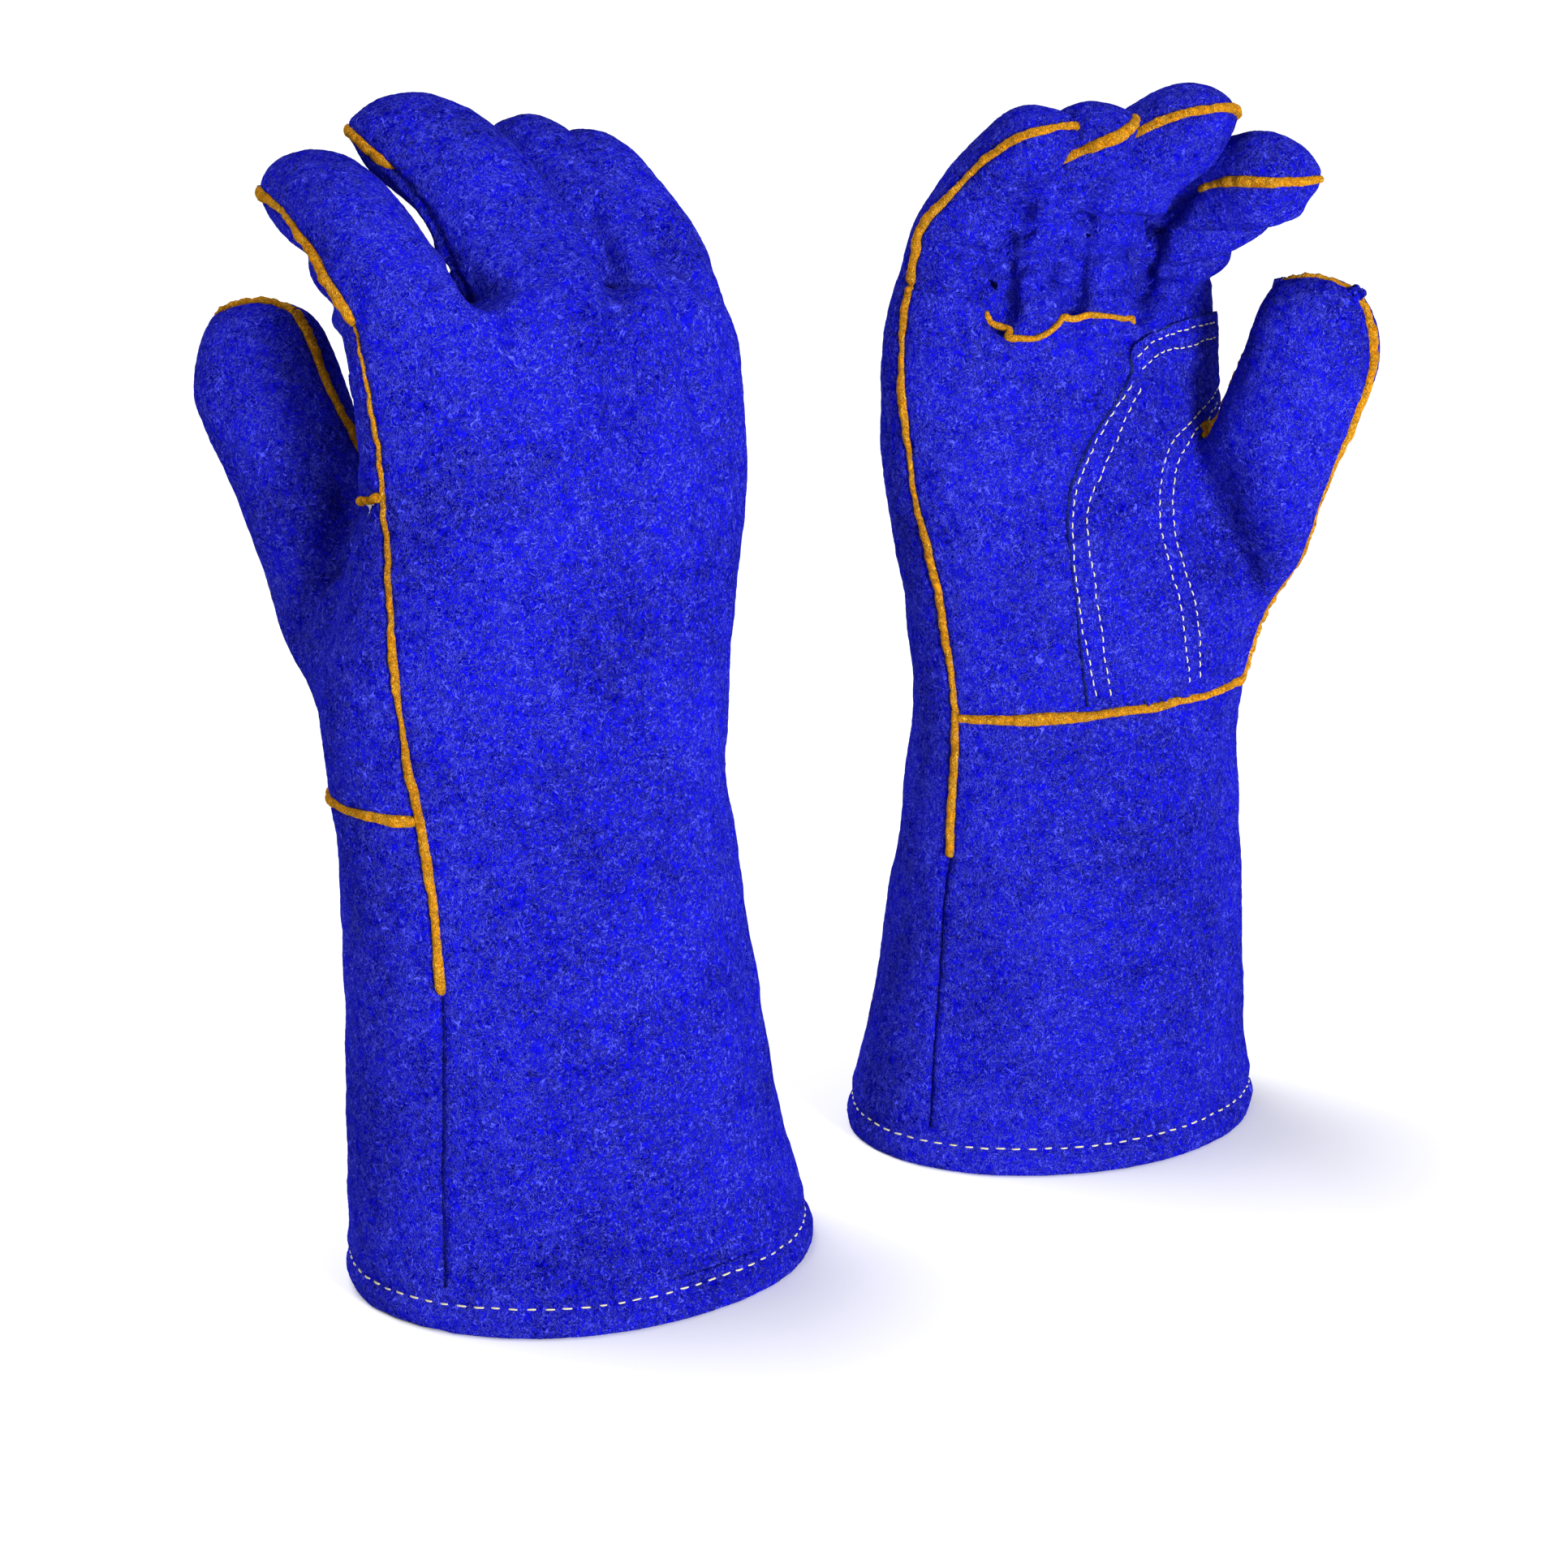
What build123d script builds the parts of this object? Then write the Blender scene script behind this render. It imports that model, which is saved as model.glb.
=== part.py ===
from build123d import *
import os
from math import cos, degrees, pi, radians, sin, sqrt, tan

os.makedirs("parts", exist_ok=True)

# A pair of fourteen-inch leather welding gauntlets that stand on their cuffs with curled fingers.
# One glove shows its palm and the other its back. All sizes are in millimetres.
# Glove frame: +Z from the hem to the fingertips, palm faces -Y, thumb side is +X.

# ---- where the two gloves stand ----
half_pitch_x = 92.0        # each glove's hem centre from the pair's centre line
half_pitch_y = 14.5
side_sway = 0.025          # sideways lean of each glove, per millimetre of height
centre_shift = 5.0         # puts the origin under the middle of the whole pair

# ---- leather, lining and trim ----
leather = 1.8
cuff_cloth = 1.0
hand_fleece = 2.2
layer_gap = 0.2
welt_width = 2.4
welt_proud = 1.4
welt_slot = 3.0
plain_seam_gap = 0.3
hem_height = 12.0
hem_extra = 1.4
stitch_height = 9.0
stitch_length = 3.2
stitch_gap = 1.6
thread = 0.9

# ---- heights of the main lines ----
wrist_height = 142.0
side_welt_foot = 96.0
knuckle_height = 271.0
knuckle_slope = 0.41       # the knuckle line drops from the back of the hand to the palm
knuckle_gap = 4.4          # room left on each side of the knuckle hinge for bending
top_height = 300.0

# ---- cuff and hand sections: height, shift to the thumb side, half width, half depth, seam angle ----
sections = [
    (0.0, 0.0, 69.0, 56.0, 23.0),
    (20.0, 1.4, 67.5, 50.0, 22.0),
    (60.0, 5.2, 63.5, 45.0, 21.0),
    (100.0, 7.9, 60.0, 42.0, 20.0),
    (142.0, 10.2, 57.5, 37.0, 18.0),
    (180.0, 6.4, 58.0, 35.0, 12.0),
    (220.0, 0.4, 59.0, 32.5, 7.0),
    (258.0, 1.2, 59.0, 28.5, 3.0),
    (300.0, 2.0, 58.0, 24.0, 2.0),
]

# ---- fingers: hinge centre across the hand, bend radius, angle at the knuckle, sideways lean ----
finger_sweep = 65.0
finger_tip = 11.0
finger_half_width = 11.6
finger_half_depth = 13.0
fingers = {
    "index": dict(x=44.0, radius=52.0, start=30.0, lean=7.0),
    "middle": dict(x=16.0, radius=66.0, start=15.0, lean=6.5),
    "ring": dict(x=-12.0, radius=62.0, start=18.0, lean=0.0),
    "pinky": dict(x=-40.0, radius=49.0, start=8.0, lean=1.0),
}
# share of the finger's length, and share of its section there
finger_stations = [
    (-0.2, 1.0), (0.0, 1.0), (0.2, 1.0), (0.4, 0.99), (0.6, 0.97),
    (0.75, 0.92), (0.86, 0.82), (0.94, 0.66), (0.98, 0.48), (1.0, 0.3),
]

# ---- thumb ----
thumb_yaw = 30.0           # the thumb stands between the side and the palm of the hand
thumb_out = 63.0
thumb_forward = 10.0
thumb_base_height = 203.0
thumb_start = 52.0
thumb_sweep = 44.0
thumb_sweep_full = 54.0    # with the rounded tip
thumb_radius = 85.0
thumb_drift = 10.0         # degrees that the thumb turns towards the palm
thumb_half_width = 22.5
thumb_half_depth = 15.0
thumb_root_length = 34.0
thumb_gap = 4.4
thumb_stations = [
    (-0.1, 1.12), (0.1, 1.06), (0.25, 1.01), (0.4, 0.99), (0.6, 0.96),
    (0.75, 0.9), (0.86, 0.8), (0.94, 0.64), (0.98, 0.48), (1.0, 0.3),
]

# ---- palm reinforcement patch: a column up the palm and a flap over the foot of the index finger ----
patch_thickness = 1.6
patch_column = (-8.0, 36.0, 147.0, 236.0)      # left, right, foot, top
patch_flap = (12.0, 52.0, 236.0, 258.0)
patch_rows = [-5.5, -1.5, 29.0, 33.0]          # stitch rows up the column
flap_rows = [249.0, 253.5]                     # stitch rows across the flap


def at_height(height, column):
    """One number of the section table at a height, straight between its rows."""
    for low, high in zip(sections, sections[1:]):
        if low[0] <= height <= high[0]:
            share = (height - low[0]) / (high[0] - low[0])
            return low[column] + share * (high[column] - low[column])
    return sections[-1][column]


def slope_normal():
    return Vector(0, -knuckle_slope, 1).normalized()


def knuckle_side(offset, upwards):
    """Half of space above or below the sloping knuckle plane, moved along its normal."""
    origin = Vector(0, 0, knuckle_height) + slope_normal() * offset
    plane = Plane(origin, x_dir=(1, 0, 0), z_dir=slope_normal())
    return plane * Pos(0, 0, 200 if upwards else -200) * Box(600, 600, 400)


def between(low, high):
    """Level slice of space between two heights."""
    return Pos(0, 0, (low + high) / 2) * Box(600, 600, high - low)


def arc_plane(radius, angle):
    """Plane across an arc that starts at the origin along +Z and bends towards -Y."""
    turn = radians(angle)
    centre = (0, radius * (cos(turn) - 1), radius * sin(turn))
    return Plane(centre, x_dir=(1, 0, 0), z_dir=(0, -sin(turn), cos(turn)))


def digit_solid(radius, sweep, half_x, half_y, stations, grow=0.0):
    """Tapered elliptical finger along the arc, closed at the tip."""
    faces = []
    for share, size in stations:
        angle = share * sweep
        if share == 1.0:
            angle += degrees(grow / radius)
        faces.append(arc_plane(radius, angle) * Ellipse(half_x * size + grow, half_y * size + grow))
    return loft(faces)


def bend_cylinder(radius, centre_radius):
    """Cylinder about the bend axis of a finger."""
    return Pos(0, -centre_radius, 0) * Rot(0, 90, 0) * Cylinder(radius, 200)


def stitch_solid():
    return Box(stitch_length, thread, thread)


class Glove:
    """All pieces of one glove, in the glove's own frame."""

    def __init__(self, sway):
        self.sway = sway
        self.outer = self.hand_solid(0)
        self.leather_inner = self.hand_solid(-leather)
        self.proud = self.hand_solid(welt_proud)
        self.shell = self.outer - self.leather_inner
        self.trim_shell = self.proud - self.leather_inner
        self.front = self.front_half()
        self.root = self.thumb_root(0)
        self.root_room = self.thumb_root(0.3)

    # -- outline of cuff and hand --
    def lean(self, height):
        return at_height(height, 1) + self.sway * height

    def hand_solid(self, grow):
        faces = []
        for height, _, width, depth, _ in sections:
            plane = Plane((self.lean(height), 0, height))
            faces.append(plane * Ellipse(width + grow, depth + grow))
        return loft(faces)

    def seam_loft(self, across, depth, offset):
        """Twisted upright prism that follows the two side seams."""
        faces = []
        for height, _, _, _, seam in sections:
            plane = Plane((self.lean(height), 0, height)).rotated((0, 0, seam))
            faces.append(plane * Pos(0, offset) * Rectangle(across, depth))
        return loft(faces, ruled=True)

    def slab(self, width):
        return self.seam_loft(400, width, 0)

    def front_half(self):
        return self.seam_loft(400, 200, -100)

    def seam_room(self):
        """Space for the side welts, and the thin gap of the plain seams below them."""
        welted = self.slab(welt_slot) & between(side_welt_foot, top_height + 10)
        plain = self.slab(plain_seam_gap) & between(-10, side_welt_foot)
        return welted + plain

    def surface_point(self, x, height, out):
        """Point on the palm side of the outline, moved outwards, with the outward direction."""
        width = at_height(height, 2)
        depth = at_height(height, 3)
        across = (x - self.lean(height)) / width
        y = -depth * sqrt(1 - across * across)
        normal = Vector(across / width, y / depth ** 2, 0).normalized()
        return Vector(x, y, height) + normal * out, normal

    # -- leather of cuff and hand --
    def back_panel(self):
        panel = self.shell - self.front - self.seam_room() - self.root_room
        return panel & between(hem_height + 0.2, top_height) & knuckle_side(-knuckle_gap, False)

    def cuff_front_panel(self):
        panel = (self.shell & self.front) - self.seam_room()
        return panel & between(hem_height + 0.2, wrist_height - welt_slot / 2)

    def palm_panel(self):
        panel = (self.shell & self.front) - self.seam_room() - self.root_room
        panel = panel & between(wrist_height + welt_slot / 2, top_height)
        return panel & knuckle_side(-knuckle_gap, False)

    def hem_band(self):
        band = self.hand_solid(hem_extra) - self.leather_inner
        return band & between(0, hem_height)

    # -- welts --
    def wrist_welt(self):
        low = wrist_height - welt_width / 2
        high = wrist_height + welt_width / 2
        return (self.trim_shell & self.front & between(low, high)) - self.seam_room()

    def side_welt(self, side):
        strip = self.trim_shell & self.slab(welt_width) & between(side_welt_foot + 0.3, top_height)
        strip = strip & knuckle_side(-knuckle_gap, False)
        half = Pos(200 * side + self.lean(knuckle_height), 0, 200) * Box(400, 400, 500)
        return (strip & half) - self.root_room

    def crotch_welt(self):
        """Short welt across the palm at the foot of the middle and ring fingers."""
        skin = self.proud - self.hand_solid(0.1)
        strip = skin & self.front & knuckle_side(-knuckle_gap, False) & knuckle_side(-knuckle_gap - 3, True)
        reach = Pos(2 + self.sway * knuckle_height, -50, knuckle_height) * Box(54, 100, 100)
        return strip & reach

    # -- palm patch --
    def palm_patch(self):
        skin = self.hand_solid(0.1 + patch_thickness) - self.hand_solid(0.1)
        left, right, foot, top = patch_column
        column = Pos((left + right) / 2, -50, (foot + top) / 2) * Box(right - left, 100, top - foot)
        left, right, foot, top = patch_flap
        flap = Pos((left + right) / 2, -50, (foot + top) / 2) * Box(right - left, 100, top - foot)
        patch = skin & (column + flap)
        room = knuckle_side(-knuckle_gap - 3.3, False)
        return (patch & room) - self.root_room

    def patch_stitching(self):
        """Rows of stitches that hold the patch, each stitch a short piece of thread."""
        lift = 0.3 + patch_thickness + thread
        stitches = []
        pitch = stitch_length + stitch_gap
        left, right, foot, top = patch_column
        for x in patch_rows:
            count = int((top - foot - 10) / pitch)
            for i in range(count):
                height = foot + 5 + i * pitch
                if x > 20 and height > 160:
                    continue
                point, normal = self.surface_point(x, height, lift)
                plane = Plane(point, x_dir=(0, 0, 1), z_dir=normal)
                stitches.append(plane * stitch_solid())
        for height in flap_rows:
            count = int((patch_flap[1] - patch_flap[0] - 12) / pitch)
            for i in range(count):
                point, normal = self.surface_point(patch_flap[0] + 4 + i * pitch, height, lift)
                plane = Plane(point, x_dir=Vector(0, 0, 1).cross(normal), z_dir=normal)
                stitches.append(plane * stitch_solid())
        return Compound(stitches)

    def hem_stitching(self):
        """One row of stitches all round the turned hem."""
        out = hem_extra + 2 * thread
        width = at_height(stitch_height, 2) + out
        depth = at_height(stitch_height, 3) + out
        count = 80
        stitches = []
        for i in range(count):
            turn = 2 * pi * i / count
            point = Vector(self.lean(stitch_height) + width * cos(turn), depth * sin(turn), stitch_height)
            along = Vector(-width * sin(turn), depth * cos(turn), 0).normalized()
            plane = Plane(point, x_dir=along, z_dir=(0, 0, 1))
            stitches.append(plane * stitch_solid())
        return Compound(stitches)

    # -- linings --
    def hand_lining(self):
        start = -leather - layer_gap
        sock = self.hand_solid(start) - self.hand_solid(start - hand_fleece)
        sock = sock & between(wrist_height - 2, top_height) & knuckle_side(-knuckle_gap - 1, False)
        return sock - self.root_room

    def cuff_lining(self):
        start = -leather - layer_gap
        sleeve = self.hand_solid(start) - self.hand_solid(start - cuff_cloth)
        return sleeve & between(hem_height - 6, wrist_height - 2.4)

    # -- fingers --
    def finger_place(self, finger):
        """Frame of a finger: knuckle hinge at the origin, finger along +Z, palm towards -Y."""
        x = finger["x"] + self.sway * knuckle_height
        return Pos(x, 0, knuckle_height) * finger_lean(finger) * Rot(finger["start"], 0, 0)

    def finger_pieces(self, name):
        finger = fingers[name]
        radius = finger["radius"]
        place = self.finger_place(finger)
        size = (radius, finger_sweep_of(radius), finger_half_width, finger_half_depth, finger_stations)
        hollow = digit_solid(*size, grow=-leather - 0.7)
        skin = digit_solid(*size) - hollow
        trim = digit_solid(*size, grow=welt_proud) - hollow
        far_side = bend_cylinder(radius + welt_slot / 2, radius)
        near_side = bend_cylinder(radius - welt_slot / 2, radius)
        ribbon = bend_cylinder(radius + welt_width / 2, radius) - bend_cylinder(radius - welt_width / 2, radius)
        room = knuckle_side(knuckle_gap, True)
        return {
            name + "_back": (place * (skin - far_side)) & room,
            name + "_front": (place * (skin & near_side)) & room,
            name + "_welt": (place * (trim & ribbon)) & room,
        }

    # -- thumb --
    def thumb_place(self):
        """Frame of the thumb: hinge at the origin, thumb along +Z, its bend towards -Y."""
        out = Vector(cos(radians(thumb_yaw)), -sin(radians(thumb_yaw)), 0)
        forward = Vector(-sin(radians(thumb_yaw)), -cos(radians(thumb_yaw)), 0)
        origin = out * thumb_out + forward * thumb_forward + Vector(self.sway * thumb_base_height, 0, 0)
        origin += Vector(0, 0, thumb_base_height)
        tilt = radians(thumb_start)
        drift = forward * tan(radians(thumb_drift))
        along = (out * sin(tilt) + Vector(0, 0, 1) * cos(tilt) + drift).normalized()
        inwards = Vector(0, 0, 1) * sin(tilt) - out * cos(tilt)
        x_dir = (inwards * -1).cross(along)
        return Plane(origin, x_dir=x_dir, z_dir=along)

    def thumb_root(self, grow):
        """Solid of the thumb's foot, which runs into the side of the hand."""
        size = thumb_stations[0][1]
        face = Ellipse(thumb_half_depth * size + grow, thumb_half_width * size + grow)
        foot = Pos(0, 0, -thumb_root_length) * extrude(face, thumb_root_length - thumb_gap)
        return self.thumb_place() * foot

    def thumb_gore(self):
        """Leather of the thumb's foot, between the index side seam and the thumb's outer seam."""
        size = thumb_stations[0][1]
        wall = leather + 0.7
        face = Ellipse(thumb_half_depth * size - wall, thumb_half_width * size - wall)
        hollow = Pos(0, 0, -thumb_root_length - 5) * extrude(face, thumb_root_length + 10)
        return self.root - self.thumb_place() * hollow - self.hand_solid(0.3)

    def thumb_pieces(self):
        size = (thumb_radius, thumb_sweep_full, thumb_half_depth, thumb_half_width, thumb_stations)
        hollow = digit_solid(*size, grow=-leather - 0.7)
        above = Pos(0, 0, thumb_gap + 150) * Box(300, 300, 300)
        skin = (digit_solid(*size) - hollow) & above
        trim = (digit_solid(*size, grow=welt_proud) - hollow) & above
        place = self.thumb_place()
        palm_side = Pos(100 + welt_slot / 2, 0, 0) * Box(200, 400, 400)
        back_side = Pos(-100 - welt_slot / 2, 0, 0) * Box(200, 400, 400)
        return {
            "thumb_front": place * (skin & palm_side),
            "thumb_back": place * (skin & back_side),
            "thumb_welt": place * (trim & Box(welt_width, 400, 400)),
        }

    def pieces(self):
        result = {
            "back_panel": self.back_panel(),
            "palm_panel": self.palm_panel(),
            "cuff_front_panel": self.cuff_front_panel(),
            "thumb_gore": self.thumb_gore(),
            "palm_patch": self.palm_patch(),
            "patch_stitching": self.patch_stitching(),
            "hem_band": self.hem_band(),
            "hem_stitching": self.hem_stitching(),
            "wrist_welt": self.wrist_welt(),
            "crotch_welt": self.crotch_welt(),
            "index_side_welt": self.side_welt(1),
            "pinky_side_welt": self.side_welt(-1),
            "hand_lining": self.hand_lining(),
            "cuff_lining": self.cuff_lining(),
        }
        for name in fingers:
            result.update(self.finger_pieces(name))
        result.update(self.thumb_pieces())
        return result


def finger_sweep_of(radius):
    """Bend of the whole finger, its rounded tip included."""
    return finger_sweep + degrees(finger_tip / radius)


def finger_lean(finger):
    """Turn that leans a finger sideways, about the line square to its chord."""
    chord = finger["start"] + finger_sweep / 2
    return Rot(chord - 90, 0, 0) * Rot(0, 0, finger["lean"]) * Rot(90 - chord, 0, 0)


places = {
    "far": (Pos(half_pitch_x + centre_shift, half_pitch_y, 0), -side_sway),
    "near": (Pos(centre_shift - half_pitch_x, -half_pitch_y, 0) * Rot(0, 0, 180), side_sway),
}


def main():
    for side, (place, sway) in places.items():
        for name, solid in Glove(sway).pieces().items():
            export_step(place * solid, f"parts/{side}_{name}.step")


if __name__ == "__main__":
    main()
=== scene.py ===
"""A pair of blue welding gauntlets: leather panels, welts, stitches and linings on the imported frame."""

import math
import random

import bpy
import numpy as np
from mathutils import Matrix, Vector, noise
from mathutils.bvhtree import BVHTree
from mathutils.kdtree import KDTree


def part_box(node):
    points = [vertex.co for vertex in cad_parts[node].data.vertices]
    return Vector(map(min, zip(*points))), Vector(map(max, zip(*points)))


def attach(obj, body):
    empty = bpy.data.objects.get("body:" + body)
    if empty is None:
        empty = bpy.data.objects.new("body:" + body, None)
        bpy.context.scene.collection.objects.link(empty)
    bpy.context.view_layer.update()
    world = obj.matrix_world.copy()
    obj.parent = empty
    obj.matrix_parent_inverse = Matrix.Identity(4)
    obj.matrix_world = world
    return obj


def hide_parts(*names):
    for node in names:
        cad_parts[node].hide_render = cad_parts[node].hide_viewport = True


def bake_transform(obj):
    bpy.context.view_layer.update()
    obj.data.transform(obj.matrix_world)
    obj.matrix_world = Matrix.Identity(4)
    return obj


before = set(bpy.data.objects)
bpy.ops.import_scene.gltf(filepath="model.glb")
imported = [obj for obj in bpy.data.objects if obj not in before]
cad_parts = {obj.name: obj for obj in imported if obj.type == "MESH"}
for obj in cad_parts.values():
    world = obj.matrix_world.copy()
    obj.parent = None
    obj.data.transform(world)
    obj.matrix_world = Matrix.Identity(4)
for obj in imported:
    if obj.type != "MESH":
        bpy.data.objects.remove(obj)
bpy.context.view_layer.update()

# Sizes are in millimetres in the glove's own frame: hem at z 0, palm towards -Y, thumb towards +X.
MM = 0.001
# The two gloves differ a little: the foot and reach of the thumb, and how far the side of the hand
# below the index finger is drawn in
GLOVES = {
    "near": dict(turn=math.pi, sway=0.025, seed=3, thumb_foot=4.0, thumb_out=1.5, tuck=9.5),
    "far": dict(turn=0.0, sway=-0.025, seed=11, thumb_foot=11.0, thumb_out=-0.5, tuck=0.0),
}

LEATHER = 1.8
FINE = 4
KNUCKLE_SLOPE = 0.41
WRIST = 142.0
SIDE_WELT_FOOT = 96.0
HEM = 12.0
STITCH_HEIGHT = 8.2
# pitch, length and thickness of the stitches
HEM_THREAD = (4.9, 3.6, 0.62)
PATCH_THREAD = (3.3, 2.5, 0.46)

# cuff and hand: height, shift to the thumb side, half width, half depth at back and palm,
# seam angle on the index and pinky sides, slope from palm to back, slope from pinky to index
SECTIONS = [
    (0, 0, 69, 56, 56, 34, 25, 0, 0),
    (10, 0.7, 69, 54, 54, 34, 25, 0, 0),
    (20, 1.4, 68, 49.5, 49.5, 35, 25, 0, 0),
    (40, 3.7, 65.5, 46, 46, 37, 23, 0, 0),
    (60, 5.2, 63.5, 45, 45, 39, 21, 0, 0),
    (80, 6.4, 62, 43.5, 43.5, 41, 20, 0, 0),
    (100, 7.9, 60, 42, 42, 42, 20, 0, 0),
    (120, 8.9, 58.5, 40, 40, 42, 19.5, 0, 0),
    (142, 10.2, 57.5, 37, 37, 41, 19.5, 0, 0.04),
    (158, 9.2, 58, 36, 36, 37, 19, 0, 0.03),
    (180, 6.4, 58, 35, 35, 31, 17, 0.05, 0.02),
    (200, 2.9, 58.5, 34, 34, 26, 15, 0.1, 0.01),
    (220, 0.4, 59, 33, 32, 22, 13, 0.16, 0),
    (240, 0.2, 59, 31, 30, 18, 10, 0.25, 0),
    (258, 1.2, 59, 29, 28, 15, 6, 0.34, 0),
    (271, 3.2, 56, 27, 26, 12, 2, KNUCKLE_SLOPE, 0),
]
LEVELS = [0, 5, 12, 22, 40, 60, 80, 96, 112, 127, 142, 154, 166, 180, 195, 210, 226, 241, 256, 271]
HALF = 16
AROUND = 2 * HALF

# where the finger roots meet at the knuckles, counted in sixteenths of each half from its first seam
ROOT_COLUMNS = (0, 4, 8, 12, 16)
BACK_ROOTS = (0, 5.2, 10.8, 13.4, 16)
PALM_ROOTS = (0, 4.1, 6.8, 9.5, 16)
ROOTS_FROM, ROOTS_TO = 226.0, 271.0
# how far the thumb seam, four columns from the index seam, swings towards the palm, in columns
THUMB_SEAM_HEIGHTS = (100, 142, 166, 226, 250)
THUMB_SEAM_SHIFTS = (0.0, 1.5, 0.7, 0.4, 0.0)

# first column at the back of each finger
FINGERS = {"index": 0, "middle": 4, "ring": 8, "pinky": 12}
# bend radius, angles from upright at knuckle and tip, sideways lean at knuckle and tip, roll of the
# tip seam in degrees, half widths and half depths at knuckle and tip
CURLS = {
    "near": {
        "index": dict(radius=51, start=30, end=97, lean=(6, 6), roll=0, width=(17.5, 14.5), depth=(15, 12)),
        "middle": dict(radius=59, start=15, end=81, lean=(4, 44), roll=0, width=(20.5, 18), depth=(15, 12.5)),
        "ring": dict(radius=54, start=18, end=82, lean=(8, 16), roll=0, width=(14.5, 13), depth=(15, 11.5)),
        "pinky": dict(
            radius=45, start=8, end=75, lean=(30, 10), roll=0, width=(12.5, 11.5), depth=(13.5, 11)
        ),
    },
    "far": {
        "index": dict(radius=49, start=32, end=97, lean=(6, 6), roll=0, width=(17, 15), depth=(17, 13.5)),
        "middle": dict(radius=69, start=15, end=66, lean=(14, 52), roll=6, width=(17, 16), depth=(15, 13)),
        "ring": dict(radius=64, start=15, end=64, lean=(10, 38), roll=24, width=(16, 14), depth=(15, 12)),
        "pinky": dict(radius=52, start=7, end=68, lean=(30, 6), roll=8, width=(14, 12.5), depth=(13.5, 11)),
    },
}
FINGER_RINGS = 6

# thumb rings: (out, height, forward) of the inner and the outer edge, half depth, share of the turn
THUMB_YAW = math.radians(30)
THUMB_ROWS = (12, 16)
THUMB_RINGS = [
    ((47, 222, 11), (75.5, 177, 9), 16.5, 0.2),
    ((49.5, 232, 14), (82, 207, 13), 16.5, 0.5),
    ((53, 242, 17), (91, 228, 16), 16, 0.8),
    ((56.5, 251, 19), (98.5, 243, 19), 15.5, 1),
    ((59.5, 261.5, 20), (97.5, 257.5, 20), 14, 1),
    ((64.5, 270, 20.5), (92.5, 268, 20.5), 10.5, 1),
]
# the thumb seam turns towards the back on its inner side and towards the palm on its outer side
THUMB_TURN = math.radians(32)
THUMB_TOP = (1.5, 4.5, 6, 4.5, 1.5)
# how much the root of the thumb fills out the side of the hand, by height
FOOT_HEIGHTS = (130, 142, 154, 166, 180, 200, 220)
FOOT_SHARES = (0.0, 0.3, 0.65, 1.0, 1.0, 0.4, 0.0)

LABELS = ["hem_band", "back_panel", "cuff_front_panel", "palm_panel", "thumb_gore"]
for digit in ("thumb", *FINGERS):
    LABELS += [digit + "_back", digit + "_front"]


# ---------------------------------------------------------------- rows of points
def unit(vectors):
    """Vectors along the last axis at length one."""
    return vectors / (np.linalg.norm(vectors, axis=-1, keepdims=True) + 1e-12)


def smoothed(rows, rounds):
    """Each row drawn towards its two neighbours; the end rows stay."""
    for _ in range(rounds):
        rows[1:-1] = (rows[:-2] + rows[1:-1] * 2 + rows[2:]) / 4
    return rows


def neighbours(grid):
    """Mean of the four neighbours of every inner point of a grid."""
    return (grid[:-2, 1:-1] + grid[2:, 1:-1] + grid[1:-1, :-2] + grid[1:-1, 2:]) / 4


def band(low, high):
    """Quads between two closed rows of point numbers."""
    low, high = list(low), list(high)
    return [[a, b, d, c] for a, b, c, d in zip(low, low[1:] + low[:1], high, high[1:] + high[:1])]


def tube(rings, corners, base=0):
    """Quads along a tube whose rings of points follow each other."""
    faces = []
    for low in range(base, base + (rings - 1) * corners, corners):
        faces += band(range(low, low + corners), range(low + corners, low + 2 * corners))
    return faces


def capped_tube(rings, corners, base=0):
    first = [base + i for i in range(corners)]
    last = [base + (rings - 1) * corners + i for i in range(corners)]
    return tube(rings, corners, base) + [first[::-1], last]


def tree_of(points):
    tree = KDTree(len(points))
    for number, point in enumerate(points):
        tree.insert(point, number)
    tree.balance()
    return tree


def length_of(points):
    return float(np.linalg.norm(np.diff(np.asarray(points), axis=0), axis=1).sum())


def resample(points, count):
    """Evenly spaced points along a line."""
    array = np.array([tuple(p) for p in points])
    run = np.concatenate([[0], np.cumsum(np.linalg.norm(np.diff(array, axis=0), axis=1))])
    at = np.linspace(0, run[-1], count)
    return np.stack([np.interp(at, run, array[:, i]) for i in range(3)], 1)


def curve_through(points, count):
    """Smooth curve through given points, with evenly spaced samples."""
    points = [Vector(p) for p in points]
    ends = [points[0] * 2 - points[1]] + points + [points[-1] * 2 - points[-2]]
    dense = []
    for a, b, c, d in zip(ends, ends[1:], ends[2:], ends[3:]):
        square, cube = 2 * a - 5 * b + 4 * c - d, 3 * b - a - 3 * c + d
        for i in range(24):
            t = i / 24
            dense.append(0.5 * (2 * b + (c - a) * t + square * t * t + cube * t ** 3))
    dense.append(points[-1])
    return resample(dense, count)


def bell(distance, width):
    return np.exp(-(distance / width) ** 2)


def wave(points, size, seed):
    """Smooth noise between -1 and 1 with bumps about one size apart."""
    shifted = points / size + seed
    return np.array([noise.noise(Vector(p)) for p in shifted.tolist()])


# ---------------------------------------------------------------- cage
class Cage:
    """Coarse quads of one glove; each face carries the leather piece that it belongs to."""

    def __init__(self, glove):
        self.pose = GLOVES[glove]
        self.curls = CURLS[glove]
        self.points = []
        self.faces = []
        self.labels = []

    def add(self, point):
        self.points.append(Vector(point))
        return len(self.points) - 1

    def face(self, corners, label):
        self.faces.append(tuple(corners))
        self.labels.append(LABELS.index(label))


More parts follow.
